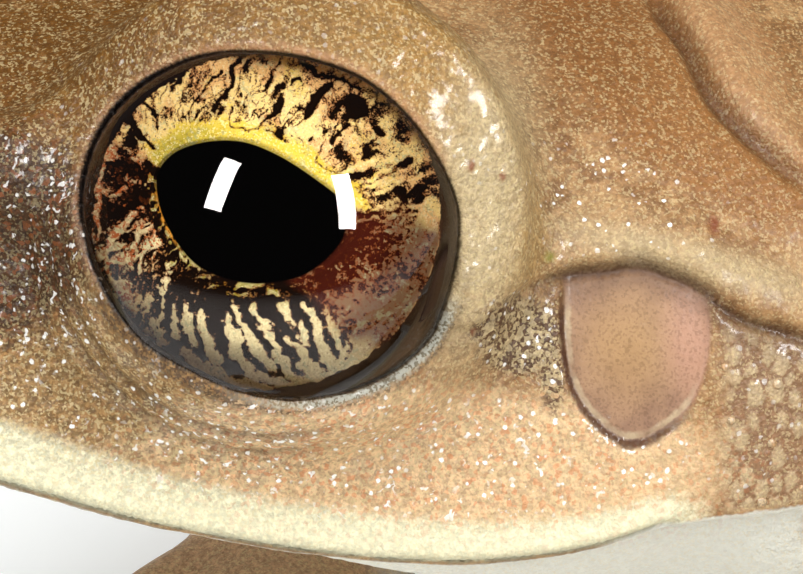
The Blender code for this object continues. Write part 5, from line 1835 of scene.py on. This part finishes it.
def add_lamp(scene, name, place, aim, energy, size, lean_deg=0.0):
    """An area light whose long side lies upright in the photo's view, but for its lean."""
    light = bpy.data.lights.new(name, "AREA")
    light.energy, light.shape = energy, "RECTANGLE"
    light.size, light.size_y = size[0] * MM, size[1] * MM
    lamp = bpy.data.objects.new(name, light)
    right, up, _ = view_axes()
    away = (np.array(place) - aim) / np.linalg.norm(np.array(place) - aim)
    lean = math.radians(lean_deg)
    long_side = up * math.cos(lean) + right * math.sin(lean)
    long_side -= away * (long_side @ away)
    long_side /= np.linalg.norm(long_side)
    axes = np.stack([np.cross(long_side, away), long_side, away], 1)
    lamp.matrix_world = Matrix.Translation(Vector(place) * MM) @ Matrix(axes.tolist()).to_4x4()
    lamp.visible_camera = False
    scene.collection.objects.link(lamp)
    return lamp


def add_lamps(scene, looks):
    """Two flash lamps with their glints, and a large light overhead."""
    right, up, out = view_axes()
    eye = from_head(EYE_CENTRE) + SHIFT
    for tag, way, lean in FLASHES:
        place = eye + FLASH_DISTANCE * (right * way[0] + up * way[1] + out * way[2])
        flash = add_lamp(scene, f"flash_{tag}", place, eye, looks.flash_energy, FLASH_SIZE, lean)
        flash.visible_glossy = False
        near = eye + (place - eye) * GLINT_SHARE
        glint = add_lamp(scene, f"glint_{tag}", near, eye, looks.glint_energy, GLINT_SIZE, lean)
        glint.visible_diffuse = False
    fill = add_lamp(scene, "fill", FILL_PLACE, np.zeros(3), looks.fill_energy, FILL_SIZE)
    fill.visible_glossy = False


def add_world(scene):
    """A plain world that mirrors see darker, and the camera as white."""
    world = bpy.data.worlds.new("studio")
    world.use_nodes = True
    tree = world.node_tree
    tree.nodes.clear()
    rays = tree.nodes.new("ShaderNodeLightPath")

    def sky(colour, strength):
        made = tree.nodes.new("ShaderNodeBackground")
        made.inputs["Color"].default_value = (*colour, 1.0)
        made.inputs["Strength"].default_value = strength
        return made.outputs[0]

    def chosen(ray, without, given):
        made = tree.nodes.new("ShaderNodeMixShader")
        for socket, value in zip(made.inputs, (rays.outputs[ray], without, given)):
            tree.links.new(value, socket)
        return made.outputs[0]

    around = chosen("Is Glossy Ray", sky(SKY_GREY, SKY_LIGHT), sky(SKY_GREY, SKY_MIRRORED))
    around = chosen("Is Camera Ray", around, sky(SKY_WHITE, SKY_SEEN))
    end = tree.nodes.new("ShaderNodeOutputWorld")
    tree.links.new(around, end.inputs["Surface"])
    scene.world = world


class FROG_OT_skin(bpy.types.Operator):
    """Draws one skin over the solids of the body"""

    bl_idname = "frog.skin"
    bl_label = "Skin"

    def execute(self, context):
        skin = make_mesh("skin", *skin_arrays())
        skin.data.materials.append(skin_material(context.scene.frog_skin))
        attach(skin, ROOT)
        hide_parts(*skin_operator_pieces())
        return {"FINISHED"}


class FROG_OT_tubercles(bpy.types.Operator):
    """Scatters tubercles over the coarse skin"""

    bl_idname = "frog.tubercles"
    bl_label = "Tubercles"

    def execute(self, context):
        looks = context.scene.frog_skin
        skin = bpy.data.objects["skin"]
        piece = grown_over(skin, tubercle_tree(), {
            "Spacing": looks.tubercle_spacing, "Density": 1.0e8, "Radius": looks.tubercle_radius,
            "Seed": looks.seed, "Material": tubercle_material(looks)}, "tubercles")
        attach(piece, ROOT)
        return {"FINISHED"}


class FROG_OT_eyes(bpy.types.Operator):
    """Makes both eyes: pupil and iris in a globe, under a clear cornea"""

    bl_idname = "frog.eyes"
    bl_label = "Eyes"

    def execute(self, context):
        looks = context.scene.frog_eyes
        iris, clear = iris_material(looks), cornea_material()
        for side, tag, columns, rings in EYES:
            globe = make_mesh(f"iris_{tag}", *eye_arrays(side, columns, rings, looks.seed))
            globe.data.materials.append(iris)
            centre = from_head(EYE_CENTRE * np.array([side, 1, 1]))
            cornea = make_mesh(f"cornea_{tag}", *ball_arrays(centre, CORNEA_RADIUS))
            cornea.data.materials.append(clear)
            for piece in (globe, cornea):
                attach(piece, ROOT)
            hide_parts(f"eye_{tag}")
        return {"FINISHED"}


class FROG_OT_stage(bpy.types.Operator):
    """Sets the floor, the lights and the camera"""

    bl_idname = "frog.stage"
    bl_label = "Stage"

    def execute(self, context):
        scene = context.scene
        floor = add_floor(scene.frog_stage)
        add_camera(scene)
        add_lamps(scene, scene.frog_stage)
        add_world(scene)
        scene.view_settings.view_transform = "Standard"
        return {"FINISHED"}


OPERATORS = (FROG_OT_skin, FROG_OT_tubercles, FROG_OT_eyes, FROG_OT_stage)


class FROG_PT_panel(bpy.types.Panel):
    """Lists the steps that dress the frog, and their settings"""

    bl_idname = "FROG_PT_panel"
    bl_label = "Tree frog"
    bl_space_type = "VIEW_3D"
    bl_region_type = "UI"
    bl_category = "Tree frog"

    def draw(self, context):
        for operator in OPERATORS:
            self.layout.operator(operator.bl_idname)
        for settings in (context.scene.frog_skin, context.scene.frog_eyes, context.scene.frog_stage):
            box = self.layout.box()
            for name in settings.__annotations__:
                box.prop(settings, name)


CLASSES = (FrogSkinSettings, FrogEyeSettings, FrogStageSettings, *OPERATORS, FROG_PT_panel)


def register():
    for cls in CLASSES:
        bpy.utils.register_class(cls)
    bpy.types.Scene.frog_skin = PointerProperty(type=FrogSkinSettings)
    bpy.types.Scene.frog_eyes = PointerProperty(type=FrogEyeSettings)
    bpy.types.Scene.frog_stage = PointerProperty(type=FrogStageSettings)


def unregister():
    del bpy.types.Scene.frog_skin, bpy.types.Scene.frog_eyes, bpy.types.Scene.frog_stage
    for cls in reversed(CLASSES):
        bpy.utils.unregister_class(cls)


def main():
    register()
    bpy.ops.frog.skin()
    bpy.ops.frog.tubercles()
    bpy.ops.frog.eyes()
    bpy.ops.frog.stage()
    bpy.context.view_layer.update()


if __name__ == "__main__":
    main()
